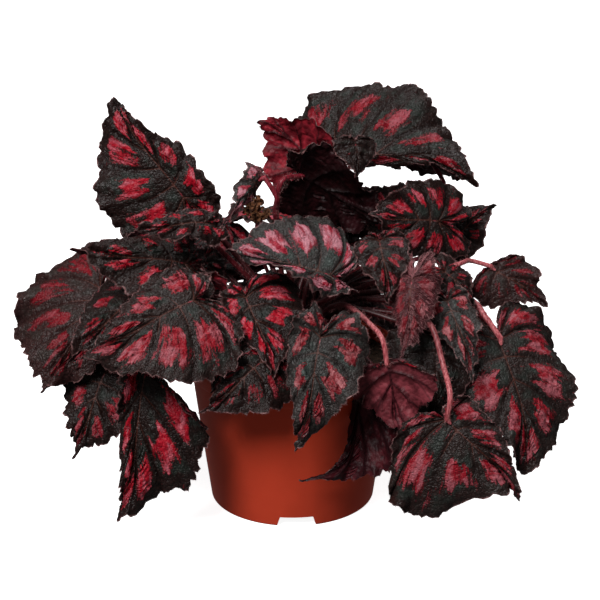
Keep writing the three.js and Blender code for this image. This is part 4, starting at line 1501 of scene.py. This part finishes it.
    def faces(self, flipped: bool) -> tuple[list, list]:
        """Join the vertices of both faces and of the edge, and weld the columns' starts on the midrib.

        Args:
            flipped: Whether the grid's own faces look down.

        Returns:
            The faces, and 0 for each that is seen from above or 1 from below.
        """
        columns = len(self.ends)
        count = (self.rows + 1) * columns
        weld = np.arange(count)
        starts = {}
        for column, value in enumerate(np.round(self.x[:columns] * 1e5).astype(int)):
            weld[column] = starts.setdefault(int(value), column)
        quads = weld[grid_faces(self.rows + 1, columns)]
        rim = self.rows * columns + np.arange(columns)
        after = np.roll(rim, -1)
        strip = np.stack([rim, rim + count, after + count, after], axis=1)
        upper, lower = (quads[:, ::-1], quads) if flipped else (quads, quads[:, ::-1])
        if flipped:
            strip = strip[:, ::-1]
        faces, slots = [], []
        for block, slot in ((upper, 0), (lower + count, 1), (strip, 0)):
            for face in block.tolist():
                clean = [vertex for index, vertex in enumerate(face) if vertex != face[index - 1]]
                if len(set(clean)) >= 3 and len(set(clean)) == len(clean):
                    faces.append(clean)
                    slots.append(slot)
        return faces, slots

    def numbers(self, seed: float) -> dict[str, Array]:
        """Work out what the materials read at each vertex.

        Args:
            seed: What sets the blade apart from others.

        Returns:
            The values under their names.
        """
        veins = self.veins
        nothing = np.zeros_like(self.place)
        ends = np.array(self.flat_points(self.place, np.ones_like(self.place), nothing))
        starts = np.array([branching_point(self.place), nothing])
        across = (veins.cell + veins.part) * GRAIN_ACROSS + (self.place < 0) * HALF_SHIFT
        along = self.run * self.length * GRAIN_ALONG
        x, y = self.x * self.length + seed * SEED_SHIFT, self.y * self.length
        return {
            "run": self.run,
            "cell": veins.middle,
            "rib": veins.rib,
            "twig": veins.twig,
            "rim": (1 - self.run) * np.hypot(*(ends - starts)) * self.length,
            "grain": np.stack([across, along, np.full_like(self.run, seed)], axis=1),
            "flat": np.stack([x, y, nothing], axis=1),
        }


@dataclass
class Blades:
    """Every blade, each in place of its plain solid.

    Attributes:
        hair_length: The length of the hairs round an edge, in millimetres.
        hair_radius: The radius of a hair at its root.
        hair_pitch: The distance between them.
        finishes: The materials, by what they are for.
    """

    hair_length: float = 1.5
    hair_radius: float = 0.09
    hair_pitch: float = 0.9
    finishes: dict = field(default_factory=dict)

    def build(self, leaf: Leaf, number: int) -> None:
        """Build one blade and its hairs.

        Args:
            leaf: The leaf.
            number: Its number, which seeds what varies from blade to blade.
        """
        blade = Blade(leaf, number)
        sheet = blade.sheet()
        faces, slots = blade.faces(sheet.flipped)
        points = np.concatenate([sheet.top, sheet.low])
        skins = [self.upper(leaf), self.lower(leaf)]
        thing = make_object(f"{leaf.name}_blade", points, faces, skins, index=np.array(slots), crease=75)
        for name, values in blade.numbers(sheet.seed).items():
            add_numbers(thing, name, np.concatenate([values, values]))
        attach(thing, "root")
        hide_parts(leaf.name)
        self.fringe(blade, sheet)
        if leaf.name in HAIRY_FACES:
            self.down(blade, sheet)

    def fringe(self, blade: Blade, sheet: Sheet) -> None:
        """Set fine hairs round a blade's edge.

        Args:
            blade: The blade.
            sheet: Its two faces.
        """
        rng = blade.rng
        edge = blade.as_grid(sheet.top)[-1]
        outward = blade.as_grid(sheet.outward)[-1]
        normals = blade.as_grid(sheet.normals)[-1]
        steps = np.linalg.norm(np.roll(edge, -1, axis=0) - edge, axis=1)
        total = steps.sum()
        wanted = int(total / self.hair_pitch)
        at = np.sort(rng.uniform(0, total, wanted))
        low = np.clip(np.searchsorted(np.cumsum(steps), at), 0, len(edge) - 1)
        part = rng.uniform(0, 1, wanted)[:, None]
        roots = edge[low] * (1 - part) + edge[(low + 1) % len(edge)] * part
        roots = roots - normals[low] * BLADE_THICKNESS * 0.3
        rise = normals[low] * rng.normal(0.1, 0.35, (wanted, 1))
        ways = unit(unit(outward[low]) + rise + rng.normal(0, 0.3, (wanted, 3)))
        lengths = self.hair_length * rng.uniform(0.5, 1.2, wanted)
        points, faces = spikes(roots - ways * 0.15, ways, lengths, self.hair_radius)
        thing = make_object(f"{blade.leaf.name}_hairs", points, faces, [self.finishes["hairs"]])
        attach(thing, "root")

    def down(self, blade: Blade, sheet: Sheet) -> None:
        """Cover a blade's upper face with long fine hairs.

        Args:
            blade: The blade.
            sheet: Its two faces.
        """
        rng, wanted = blade.rng, HAIRY_FACES[blade.leaf.name]
        chosen = rng.integers(len(sheet.top) // 12, len(sheet.top), wanted)
        lean = unit(sheet.outward[chosen]) * 0.9 + sheet.normals[chosen] * rng.uniform(0.2, 0.8, (wanted, 1))
        ways = unit(lean + rng.normal(0, 0.25, (wanted, 3)))
        roots = sheet.top[chosen] + rng.normal(0, 0.25, (wanted, 3)) - ways * 0.3
        points, faces = spikes(roots, ways, rng.uniform(*DOWN_LENGTH, wanted), DOWN_RADIUS)
        thing = make_object(f"{blade.leaf.name}_down", points, faces, [self.finishes["down"]])
        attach(thing, "root")

    def upper(self, leaf: Leaf) -> Material:
        """Return the material of a leaf's upper face."""
        return self.finishes[MARBLINGS.get(leaf.name, Marbling.BOLD)]

    def lower(self, leaf: Leaf) -> Material:
        """Return the material of a leaf's lower face."""
        return self.finishes[UNDERSIDES.get(leaf.name, Underside.SHADED)]

    def dress(self) -> None:
        """Make the materials and build every blade."""
        for kind, finish in FINISHES.items():
            self.finishes[kind] = finish.material(f"blade_{kind.value}")
        for kind, finish in UNDERSIDE_FINISHES.items():
            self.finishes[kind] = finish.material(f"underside_{kind.value}")
        self.finishes["hairs"] = HairFinish().material("edge_hairs")
        self.finishes["down"] = HairFinish(DOWN_HAIRS).material("face_hairs")
        for number, leaf in enumerate(USUAL_LEAVES):
            self.build(leaf, number)
        LOG.info("blades: %d", len(USUAL_LEAVES))


# ---- stalks and rhizome

# These say the same as the source of the solids.
SOIL_TOP, SOIL_CROWN = 98.0, 2.5  # how high the soil lies, and how much higher in its middle
GAP = 0.3  # between one solid and the next
RHIZOME = (64.0, 40.0, 15.0)  # its length, width and height
RHIZOME_MIDDLE = SOIL_TOP + SOIL_CROWN + GAP + RHIZOME[2] / 2
BUD_PLACE = (-23.0, -6.0, 204.0)  # the middle of the dried buds
STALK_SPREAD = 0.46  # how far out on the rhizome a far stalk stands
STALK_LEAN, STALK_RISE = 0.12, 0.3  # how far out and up a stalk goes first, as shares of its way
STALK_LEAD, STALK_LEAD_MOST = 0.18, 16  # its straight end, as a share of its way and in millimetres at most
STALK_ENTRY = (0.75, 0.65)  # how much along and across its blade it comes in
PLAIN_BLADE, PLAIN_STALK, PLAIN_CLEARANCE = 0.4, 2.1, 0.4  # what keeps the solids of both apart

STALK_SEED, BUD_SEED, CRUMB_SEED = 7, 21, 5
CURVE_STEPS = 24  # between two points of a path
STALK_TIP = ((1.6, 1.5), (0.9, 4.0))  # how far under its blade and along it the fine stalk's last places are
TIP_TAPER = (0.95, 0.85, 0.7, 0.4)  # how thick it is there, as shares
BARE_FOOT, BARE_TIP = 5, 3  # rows of a stalk with no hairs
STALK_HAIR_LENGTH, STALK_HAIR_RADIUS = (1.2, 3.2), 0.1
STALK_HAIRS = (0.34, 0.13, 0.13)  # their colour
BUD_STEM, BUD_STEM_DROP = (1.5, 1.1), 6  # the radii of the dried buds' stem, and how far under them it ends
KNOBS, KNOB_SPREAD = 26, 0.05  # the lumps on the rhizome
ODD_WAY = (0.3, 0.9, 0.2)  # no stem sets out this way
# these stalks take the lit copy of the stalk colour; the others take the painted-shade copy
LIT_STALKS = ("leaf_far_right_small", "leaf_right_large", "leaf_right_low", "leaf_right_underside")


class Heap:
    """Small meshes that are put together into one.

    Attributes:
        points: The vertices of each.
        faces: The faces of all.
        count: How many vertices there are.
    """

    def __init__(self) -> None:
        """Start with none."""
        self.points: list[Array] = []
        self.faces: list[list[int]] = []
        self.count = 0

    def add(self, points: Array, faces: list) -> None:
        """Add one mesh.

        Args:
            points: Its vertices.
            faces: Its faces, as lists of their numbers.
        """
        self.points.append(points)
        self.faces.extend([self.count + corner for corner in face] for face in faces)
        self.count += len(points)

    def make(self, name: str, material: Material, crease: float = 45.0) -> Thing:
        """Return an object of all the meshes."""
        return make_object(name, np.concatenate(self.points), self.faces, [material], crease=crease)


def smooth_path(points: list, count: int) -> Array:
    """Follow a centripetal curve through points.

    Args:
        points: The points.
        count: How many places to return.

    Returns:
        Places at equal distances along the curve.
    """
    given = [np.array(point, dtype=float) for point in points]
    padded = [2 * given[0] - given[1], *given, 2 * given[-1] - given[-2]]
    fine = []
    for index in range(1, len(padded) - 2):
        p0, p1, p2, p3 = padded[index - 1:index + 3]
        d0, d1, d2 = (max(np.linalg.norm(b - a) ** 0.5, 1e-4) for a, b in ((p0, p1), (p1, p2), (p2, p3)))
        m1 = (p1 - p0) / d0 - (p2 - p0) / (d0 + d1) + (p2 - p1) / d1
        m2 = (p2 - p1) / d1 - (p3 - p1) / (d1 + d2) + (p3 - p2) / d2
        m1, m2 = m1 * d1, m2 * d1
        for part in np.linspace(0, 1, CURVE_STEPS, endpoint=False):
            curved = (2 * p1 - 2 * p2 + m1 + m2) * part**3 + (3 * p2 - 3 * p1 - 2 * m1 - m2) * part**2
            fine.append(curved + m1 * part + p1)
    fine.append(given[-1])
    fine = np.array(fine)
    run = np.concatenate([[0], np.cumsum(np.linalg.norm(np.diff(fine, axis=0), axis=1))])
    at = np.linspace(0, run[-1], count)
    return np.stack([np.interp(at, run, fine[:, axis]) for axis in range(3)], axis=1)


@dataclass
class Stalks:
    """The hairy stalks and the rhizome that they grow from.

    Attributes:
        foot_radius: A stalk's radius where it leaves the rhizome.
        end_radius: Its radius at the blade.
        sides: How many sides a stalk has.
        steps: How many places along it are set.
        hairs: How many hairs a stalk of 100 mm has.
        stems: The meshes of the stems.
        fuzz: The meshes of the hairs.
        climbs: How far up its stem each vertex is.
        lit_shares: How much each vertex takes of the lit copy of the stalk colour, against the painted-shade
            copy.
    """

    foot_radius: float = 2.3
    end_radius: float = 1.75
    sides: int = 12
    steps: int = 40
    hairs: int = 260
    stems: Heap = field(default_factory=Heap)
    fuzz: Heap = field(default_factory=Heap)
    climbs: list[Array] = field(default_factory=list)
    lit_shares: list[Array] = field(default_factory=list)

    def root(self, end: Array) -> Array:
        """Find the foot of a stem.

        Args:
            end: Where the stem ends.

        Returns:
            Where it starts, in the rhizome.
        """
        reach = math.hypot(end[0], end[1])
        spread = STALK_SPREAD * (reach / (reach + max(end[2] - SOIL_TOP, 0)))
        return np.array([*(spread * RHIZOME[axis] * end[axis] / reach for axis in (0, 1)), RHIZOME_MIDDLE])

    def path(self, root: Array, via: tuple, end: Array, inward: Array) -> Array:
        """Lay the middle line of a stem.

        Args:
            root: Where it starts.
            via: Points that it passes.
            end: Where it ends.
            inward: The way that it goes there.

        Returns:
            Places along the middle line.
        """
        run = float(np.linalg.norm(end - root))
        rise = root + np.array([*(end - root)[:2] * STALK_LEAN, run * STALK_RISE])
        before = end - inward * min(run * STALK_LEAD, STALK_LEAD_MOST)
        return smooth_path([root, rise, *via, before, end], self.steps)

    def leaf_path(self, leaf: Leaf) -> Array:
        """Lay the middle line of a leaf's stalk, and lead it on into the blade.

        Args:
            leaf: The leaf.

        Returns:
            Places along the middle line.
        """
        along, normal, _, _ = leaf.axes
        usual = along * STALK_ENTRY[0] + normal * STALK_ENTRY[1]
        inward = unit(np.array(leaf.stalk, dtype=float)) if leaf.stalk else unit(usual)
        lean = math.sqrt(max(1 - float(inward @ normal) ** 2, 0))
        clearance = PLAIN_BLADE + GAP + PLAIN_STALK * lean + PLAIN_CLEARANCE
        hilt = np.array(leaf.hilt, dtype=float)
        side = -1 if leaf.over else 1
        end = hilt - normal * clearance * side
        path = self.path(self.root(hilt), leaf.via, end, inward)
        tip = [hilt - normal * below * side + along * on for below, on in STALK_TIP]
        return np.concatenate([path, smooth_path([path[-1], *tip], len(TIP_TAPER) + 1)[1:]])

    def tube(self, path: Array, radii: Array) -> tuple[Array, list, Array]:
        """Sweep a round section along a path.

        Args:
            path: The middle line.
            radii: The radius at each of its places.

        Returns:
            The vertices, the faces with a cap at each end, and the outward way at each vertex.
        """
        ways = unit(np.gradient(path, axis=0))
        side = unit(np.cross(ways[0], ODD_WAY))
        rings, outs = [], []
        angles = np.linspace(0, 2 * np.pi, self.sides, endpoint=False)
        for place, way, radius in zip(path, ways, radii):
            side = unit(side - way * float(side @ way))
            front = np.cross(way, side)
            out = np.cos(angles)[:, None] * side + np.sin(angles)[:, None] * front
            rings.append(place + out * radius)
            outs.append(out)
        faces = grid_faces(len(path), self.sides).tolist()
        faces.append(list(range(self.sides))[::-1])
        faces.append(list(range((len(path) - 1) * self.sides, len(path) * self.sides)))
        return np.concatenate(rings), faces, np.concatenate(outs)

    def stem(self, path: Array, radii: Array, climb: float, lit_share: float) -> tuple[Array, Array]:
        """Add one stem to the others.

        Args:
            path: Its middle line.
            radii: Its radius at each of the line's places.
            climb: How far up a stalk its end counts as, from 0 to 1.
            lit_share: How much of the lit copy of the colour it takes, against the painted-shade copy.

        Returns:
            Its vertices, and the outward way at each.
        """
        points, faces, outs = self.tube(path, radii)
        self.stems.add(points, faces)
        self.climbs.append(np.repeat(np.linspace(0, climb, len(path)), self.sides))
        self.lit_shares.append(np.full(len(points), lit_share))
        return points, outs

    def stalk(self, leaf: Leaf, rng: Generator) -> None:
        """Add one leaf's stalk and its hairs.

        Args:
            leaf: The leaf.
            rng: What draws the hairs.
        """
        path = self.leaf_path(leaf)
        size = min(1.0, 0.72 + leaf.axes[3] / 320)  # small leaves have thinner stalks
        radii = np.linspace(self.foot_radius, self.end_radius, len(path)) * size
        radii[-len(TIP_TAPER):] *= np.array(TIP_TAPER)
        points, outs = self.stem(path, radii, 1.0, 1.0 if leaf.name in LIT_STALKS else 0.0)
        length = float(np.linalg.norm(np.diff(path, axis=0), axis=1).sum())
        first, last = self.sides * BARE_FOOT, len(points) - self.sides * BARE_TIP
        chosen = rng.integers(first, last, int(length * self.hairs / 100))
        ways = unit(outs[chosen] + rng.normal(0, 0.35, (len(chosen), 3)))
        lengths = rng.uniform(*STALK_HAIR_LENGTH, len(chosen))
        hairs, faces = spikes(points[chosen] - ways * 0.2, ways, lengths, STALK_HAIR_RADIUS)
        self.fuzz.add(hairs, faces.tolist())

    def bud_stem(self) -> None:
        """Add the stem of the dried buds."""
        end = np.array([BUD_PLACE[0], BUD_PLACE[1], BUD_PLACE[2] - BUD_STEM_DROP])
        path = self.path(self.root(end), (), end, np.array([0.0, 0.0, 1.0]))
        self.stem(path, np.linspace(*BUD_STEM, self.steps), 0.6, 0.0)

    def dress(self) -> None:
        """Build the stalks, their hairs and the rhizome."""
        rng = np.random.default_rng(STALK_SEED)
        for leaf in USUAL_LEAVES:
            self.stalk(leaf, rng)
        self.bud_stem()
        stems = self.stems.make("stalks", StemFinish().material("stalk_skin"))
        add_numbers(stems, "climb", np.concatenate(self.climbs))
        add_numbers(stems, "lit_share", np.concatenate(self.lit_shares))
        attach(stems, "root")
        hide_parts("crown")
        fuzz = self.fuzz.make("stalk_hairs", HairFinish(STALK_HAIRS).material("stalk_hairs"))
        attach(fuzz, "root")
        self.rhizome(rng)
        LOG.info("stalks: %d, hairs: %d", len(USUAL_LEAVES) + 1, len(self.fuzz.faces) // len(HAIR_FACES))

    def rhizome(self, rng: Generator) -> None:
        """Build the knobbly rhizome, with the rings of old scars.

        Args:
            rng: What draws the places of its knobs.
        """
        rows, columns = 40, 72
        tilts = np.linspace(0.02, np.pi - 0.02, rows)
        turns = np.linspace(0, 2 * np.pi, columns, endpoint=False)
        tilt, turn = np.meshgrid(tilts, turns, indexing="ij")
        ball = [np.cos(tilt), np.sin(tilt) * np.cos(turn), np.sin(tilt) * np.sin(turn)]
        ball = np.stack(ball, axis=-1).reshape(-1, 3)
        knobs = unit(rng.normal(0, 1, (KNOBS, 3)))
        away = np.sum((ball[:, None] - knobs[None]) ** 2, axis=2)
        near = np.max(np.exp(-away / KNOB_SPREAD), axis=1)
        rings = 0.03 * np.sin(ball[:, 0] * 34)
        size = 0.93 + 0.07 * near + rings * 0.5
        points = ball * size[:, None] * np.array(RHIZOME) / 2 + np.array([0, 0, RHIZOME_MIDDLE])
        faces = grid_faces(rows, columns).tolist()
        faces += [list(range(columns))[::-1], list(range((rows - 1) * columns, rows * columns))]
        skin = EarthFinish((0.05, 0.012, 0.008), (0.16, 0.05, 0.03), 240.0).material("rhizome_skin")
        body = make_object("rhizome", points, faces, [skin])
        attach(body, "root")
        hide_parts("crown")


# ---- dried buds


@dataclass
class DriedBuds:
    """A cluster of dried, papery bud scales.

    Attributes:
        lumps: The middles and radii of the plain lumps that it replaces.
        scales: How many scales each lump has.
        columns: How many places a scale has across.
        rows: How many it has along.
        thickness: How thick a scale is.
    """

    lumps: tuple = ((0, 0, 0, 5), (5.5, -2, -2, 3.6), (-5.5, -1, 1, 3.8), (1, 0, 6, 3.2), (-1, -3, -4, 3.4))
    scales: int = 26
    columns: int = 7
    rows: int = 6
    thickness: float = 0.25

    def scale(self, middle: Array, radius: float, rng: Generator) -> Array:
        """Shape one scale that curls away from a lump.

        Args:
            middle: The lump's middle.
            radius: Its radius.
            rng: What draws the scale's way, width and curl.

        Returns:
            The vertices of the outer face and then of the inner face.
        """
        places = np.linspace(-1, 1, self.columns), np.linspace(0.03, 1, self.rows)
        across, along = np.meshgrid(*places, indexing="ij")
        out = unit(rng.normal(0, 1, 3))
        side = unit(np.cross(out, rng.normal(0, 1, 3)))
        up = np.cross(out, side)
        wide = 0.5 * radius * np.sqrt(np.clip(along * (1.15 - along), 0, 1)) * rng.uniform(0.8, 1.4)
        curl = rng.uniform(0.2, 0.9)
        stand = radius * 0.35 + radius * curl * along**2 * 0.6 - across**2 * wide * 0.5
        rise, spread = along * radius * 1.1, across * wide
        sheet = middle + (up * rise[..., None] + side * spread[..., None] + out * stand[..., None])
        sheet = sheet.reshape(-1, 3)
        return np.concatenate([sheet, sheet - out * self.thickness])

    def dress(self) -> None:
        """Build the scales."""
        rng = np.random.default_rng(BUD_SEED)
        quads = grid_faces(self.columns, self.rows, wrap=False)
        inner = quads[:, ::-1] + self.columns * self.rows
        faces = [*quads.tolist(), *inner.tolist(), *rim_faces(self.columns, self.rows).tolist()]
        heap = Heap()
        for x, y, z, radius in self.lumps:
            for _ in range(self.scales):
                heap.add(self.scale(np.array(BUD_PLACE) + [x, y, z], radius, rng), faces)
        skin = EarthFinish((0.035, 0.012, 0.006), (0.22, 0.085, 0.035), 300.0).material("dry_scales")
        buds = heap.make("bud_scales", skin)
        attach(buds, "root")
        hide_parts("dried_buds")
        LOG.info("dried buds: %d scales", len(self.lumps) * self.scales)


# ---- pot and soil


@dataclass
class NurseryPot:
    """The thin tapered pot with its collar and notches.

    Attributes:
        height: Its height.
        base_radius: Its radius at the foot.
        taper: The radius gained for each millimetre of height.
        wall: Its wall.
        floor: Its floor.
        collar_height: The height of the band round the top.
        collar_step: How far the band stands out.
        facets: How many facets go round.
        heel_rounding: The radius of the rounded edge at the foot.
        lip_rounding: The radius of the rounded edge at the top.
        notch_count: How many notches the bottom edge has.
        notch_turn: How far round the first one is from the front.
        notch_width: A notch's width at the foot.
        notch_top_width: Its width at its top.
        notch_height: Its height.
        notch_depth: How far in it reaches.
        crease: The angle, in degrees, over which edges are sharp.
    """

    height: float = 108.0
    base_radius: float = 56.0
    taper: float = 0.13
    wall: float = 1.4
    floor: float = 1.8
    collar_height: float = 17.0
    collar_step: float = 1.3
    facets: int = 192
    heel_rounding: float = 1.5
    lip_rounding: float = 1.2
    notch_count: int = 3
    notch_turn: float = math.radians(3)
    notch_width: float = 26.0
    notch_top_width: float = 22.0
    notch_height: float = 7.0
    notch_depth: float = 14.0
    crease: float = 38.0

    def radius(self, height: float) -> float:
        """Return the outer radius without the collar."""
        return self.base_radius + self.taper * height

    def band(self, height: float) -> float:
        """Return the outer radius of the collar."""
        return self.radius(height) + self.collar_step

    def inner(self, height: float) -> float:
        """Return the inner radius."""
        return self.radius(height) - self.wall

    def profile(self) -> list[tuple[float, float]]:
        """Draw the section of the wall.

        Returns:
            Radius and height, from the axis under the floor round to the axis above it.
        """
        foot, flat = self.height - self.collar_height, 20.0
        bend = self.heel_rounding
        heel = [
            (self.radius(0) - bend + bend * math.sin(angle), bend - bend * math.cos(angle))
            for angle in np.linspace(0, 1.5, 6)
        ]
        bend = self.lip_rounding
        middle = (self.band(self.height) - bend, self.height - bend)
        lip = [
            (middle[0] + bend * math.cos(angle), middle[1] + bend * math.sin(angle))
            for angle in np.linspace(0.1, 1.57, 7)
        ]
        outer = [(self.radius(height), height) for height in (30, 60, foot - 1.6)]
        step = [(self.radius(foot - 1.1) + 0.1, foot - 1.1), (self.band(foot) - 0.3, foot - 0.1)]
        collar = [(self.band(height), height) for height in (foot + 0.3, foot + 8)]
        rim = [(self.inner(self.height) + 0.3, self.height), (self.inner(self.height), self.height - 0.3)]
        inside = [(self.inner(height), height) for height in (60, self.floor)]
        base, floor = [(0.0, 0.0), (flat, 0.0)], [(flat, self.floor), (0.0, self.floor)]
        return [*base, *heel, *outer, *step, *collar, *lip, *rim, *inside, *floor]

    def notch_cutter(self, index: int) -> Thing:
        """Make the block that cuts one notch.

        Args:
            index: The notch's number.

        Returns:
            The block, which reaches a little past the wall and under the foot.
        """
        wide, top, high = self.notch_width / 2, self.notch_top_width / 2, self.notch_height
        past, under = 5, 1
        near, far = -(self.base_radius - self.notch_depth), -(self.base_radius + past)
        section = [(-wide, -under), (wide, -under), (wide, 0), (top, high), (-top, high), (-wide, 0)]
        turn = self.notch_turn + index * 2 * math.pi / self.notch_count
        cos, sin = math.cos(turn), math.sin(turn)
        block = [(x, y, z) for y in (near, far) for x, z in section]
        points = np.array([(x * cos - y * sin, x * sin + y * cos, z) for x, y, z in block])
        count = len(section)
        faces = [list(range(count))[::-1], list(range(count, 2 * count))]
        faces += [[k, (k + 1) % count, (k + 1) % count + count, k + count] for k in range(count)]
        return make_object(f"notch_cutter_{index}", points, faces, [])

    def turned(self) -> Thing:
        """Turn the section round.

        Returns:
            The pot without its notches.
        """
        profile = self.profile()
        angles = np.linspace(0, 2 * np.pi, self.facets, endpoint=False)
        rings = [(r * math.cos(a), r * math.sin(a), z) for r, z in profile[1:-1] for a in angles]
        points = np.array([(0, 0, profile[0][1]), *rings, (0, 0, profile[-1][1])])
        rows, last = len(profile) - 2, len(points) - 1
        faces = (grid_faces(rows, self.facets) + 1).tolist()
        for k in range(self.facets):
            after = (k + 1) % self.facets
            faces.append([0, after + 1, k + 1])
            faces.append([last, 1 + (rows - 1) * self.facets + k, 1 + (rows - 1) * self.facets + after])
        plastic = PotFinish().material("pot_plastic")
        return make_object("pot_shell", points, faces, [plastic], crease=self.crease)

    def dress(self) -> None:
        """Build the pot and cut its notches."""
        shell = self.turned()
        cutters = [self.notch_cutter(index) for index in range(self.notch_count)]
        for cutter in cutters:
            cut = shell.modifiers.new("notch", "BOOLEAN")
            cut.operation, cut.object, cut.solver = "DIFFERENCE", cutter, "EXACT"
        view = bpy.context.evaluated_depsgraph_get()
        mesh = bpy.data.meshes.new_from_object(shell.evaluated_get(view))
        shell.modifiers.clear()
        shell.data = mesh
        mesh.shade_smooth()
        mesh.set_sharp_from_angle(angle=math.radians(self.crease))
        for cutter in cutters:
            bpy.data.objects.remove(cutter, do_unlink=True)
        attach(shell, "root")
        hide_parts("pot")
        LOG.info("pot: %d faces", len(mesh.polygons))


CRUMB_CORNERS = (
    (1, 1, 1), (-1, -1, 1), (-1, 1, -1), (1, -1, -1), (1, -1, 1), (-1, 1, 1), (1, 1, -1), (-1, -1, -1),
)
CRUMB_FACES = ((0, 4, 1, 5), (2, 6, 3, 7), (0, 6, 3, 4), (4, 3, 7, 1), (1, 7, 2, 5), (5, 2, 6, 0))


@dataclass
class PottingMix:
    """The soil and the crumbs on it.

    Attributes:
        radius: The radius that the crumbs stay within.
        edge: The radius where the rise of the soil's middle starts.
        crumbs: How many crumbs lie on top.
        sizes: The least and greatest size of a crumb.
    """

    radius: float = 62.0
    edge: float = 68.0
    crumbs: int = 700
    sizes: tuple[float, float] = (0.6, 2.0)

    def crumb(self, shape: Array, rng: Generator) -> Array:
        """Shape one crumb.

        Args:
            shape: The corners of an even one.
            rng: What draws its place, its size and its corners.

        Returns:
            Its corners.
        """
        reach, turn = self.radius * math.sqrt(rng.uniform(0.02, 1)), rng.uniform(0, 2 * math.pi)
        size = rng.uniform(*self.sizes)
        height = SOIL_TOP + SOIL_CROWN * 0.7 * max(0.0, 1 - reach / self.edge) + size * 0.2
        lump = shape * rng.uniform(0.6, 1.2, (8, 1)) * size * rng.uniform(0.6, 1.2, 3)
        return lump + [reach * math.cos(turn), reach * math.sin(turn), height]

    def dress(self) -> None:
        """Finish the root ball and scatter crumbs on it."""
        earth = EarthFinish().material("potting_mix")
        ball = bpy.data.objects.get("soil")
        if ball is not None:
            for slot in ball.material_slots:
                slot.material = earth
        rng = np.random.default_rng(CRUMB_SEED)
        shape = unit(np.array(CRUMB_CORNERS, dtype=float))
        heap = Heap()
        for _ in range(self.crumbs):
            heap.add(self.crumb(shape, rng), CRUMB_FACES)
        top = heap.make("soil_crumbs", earth, crease=30)
        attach(top, "root")
        LOG.info("soil crumbs: %d", self.crumbs)


# ---- the studio

LAMP_AIM = (0.0, 0.0, 0.12)  # where the lamps look, in metres


@dataclass(frozen=True)
class Lamp:
    """A soft round lamp.

    Attributes:
        name: Its name.
        place: Where it hangs, in metres.
        size: How wide it is, in metres.
        watts: Its power.
    """

    name: str
    place: tuple[float, float, float]
    size: float
    watts: float

    def hang(self) -> None:
        """Hang the lamp so that it looks at the plant."""
        light = bpy.data.lights.new(self.name, "AREA")
        light.shape, light.size, light.energy = "DISK", self.size, self.watts
        lamp = bpy.data.objects.new(self.name, light)
        lamp.location = self.place
        back = Vector(self.place) - Vector(LAMP_AIM)
        lamp.rotation_euler = back.to_track_quat("Z", "Y").to_euler()
        bpy.context.scene.collection.objects.link(lamp)


LAMPS = (
    Lamp("key", (-0.60, -1.10, 1.40), 0.8, 38.0),
    Lamp("fill", (1.2, -1.0, 1.2), 1.2, 1.5),
    Lamp("back", (0.3, 0.7, 1.7), 0.8, 13.0),
)


@dataclass
class Studio:
    """The pale floor, the soft light and the camera.

    Attributes:
        eye: Where the camera stands, in millimetres.
        pitch: How far it looks down, in degrees.
        lens: Its lens, in millimetres.
        sensor: The width of its sensor, in millimetres.
        reach: How far it sees, in metres.
        floor: How far the floor reaches each way, in metres.
        daylight: The strength of the light from all sides.
        glow: The strength of the floor's own light, which keeps it white.
    """

    eye: tuple[float, float, float] = (5.2, -1051.0, 508.0)
    pitch: float = 19.3
    lens: float = 100.0
    sensor: float = 36.0
    reach: float = 50.0
    floor: float = 25.0
    daylight: float = 0.14
    glow: float = 0.90

    def camera(self) -> None:
        """Set up the camera."""
        camera = bpy.data.objects.new("camera", bpy.data.cameras.new("camera"))
        camera.data.lens, camera.data.sensor_width = self.lens, self.sensor
        camera.data.clip_end = self.reach
        camera.location = Vector(self.eye) * MM
        camera.rotation_euler = (math.radians(90 - self.pitch), 0.0, 0.0)
        bpy.context.scene.collection.objects.link(camera)
        bpy.context.scene.camera = camera

    def paper(self) -> Material:
        """Mix the nearly white paper of the floor.

        Returns:
            Its material.
        """
        make = Recipe("floor_paper")
        tone = make.blend(make.noise(make.place(), 3.0, 2.0), (0.92, 0.92, 0.92), (0.95, 0.95, 0.95))
        white = (1.0, 1.0, 1.0)
        return make.finish(Base_Color=tone, Roughness=0.8, Emission_Color=white, Emission_Strength=self.glow)

    def dress(self) -> None:
        """Lay the floor, light it and set up the camera."""
        corners = np.array([(-1, -1, 0), (1, -1, 0), (1, 1, 0), (-1, 1, 0)]) * (self.floor / MM)
        floor = make_object("floor", corners, [[0, 1, 2, 3]], [self.paper()])
        floor.visible_diffuse = False
        floor.visible_glossy = False
        world = bpy.data.worlds.new("studio")
        world.use_nodes = True
        background = world.node_tree.nodes["Background"]
        background.inputs[0].default_value = (1.0, 1.0, 1.0, 1.0)
        background.inputs[1].default_value = self.daylight
        bpy.context.scene.world = world
        for lamp in LAMPS:
            lamp.hang()
        bpy.context.scene.view_settings.view_transform = "Standard"
        self.camera()
        LOG.info("studio set")


def main() -> None:
    """Build the plant and its studio."""
    Studio().dress()
    NurseryPot().dress()
    PottingMix().dress()
    Stalks().dress()
    DriedBuds().dress()
    Blades().dress()


if __name__ == "__main__":
    main()
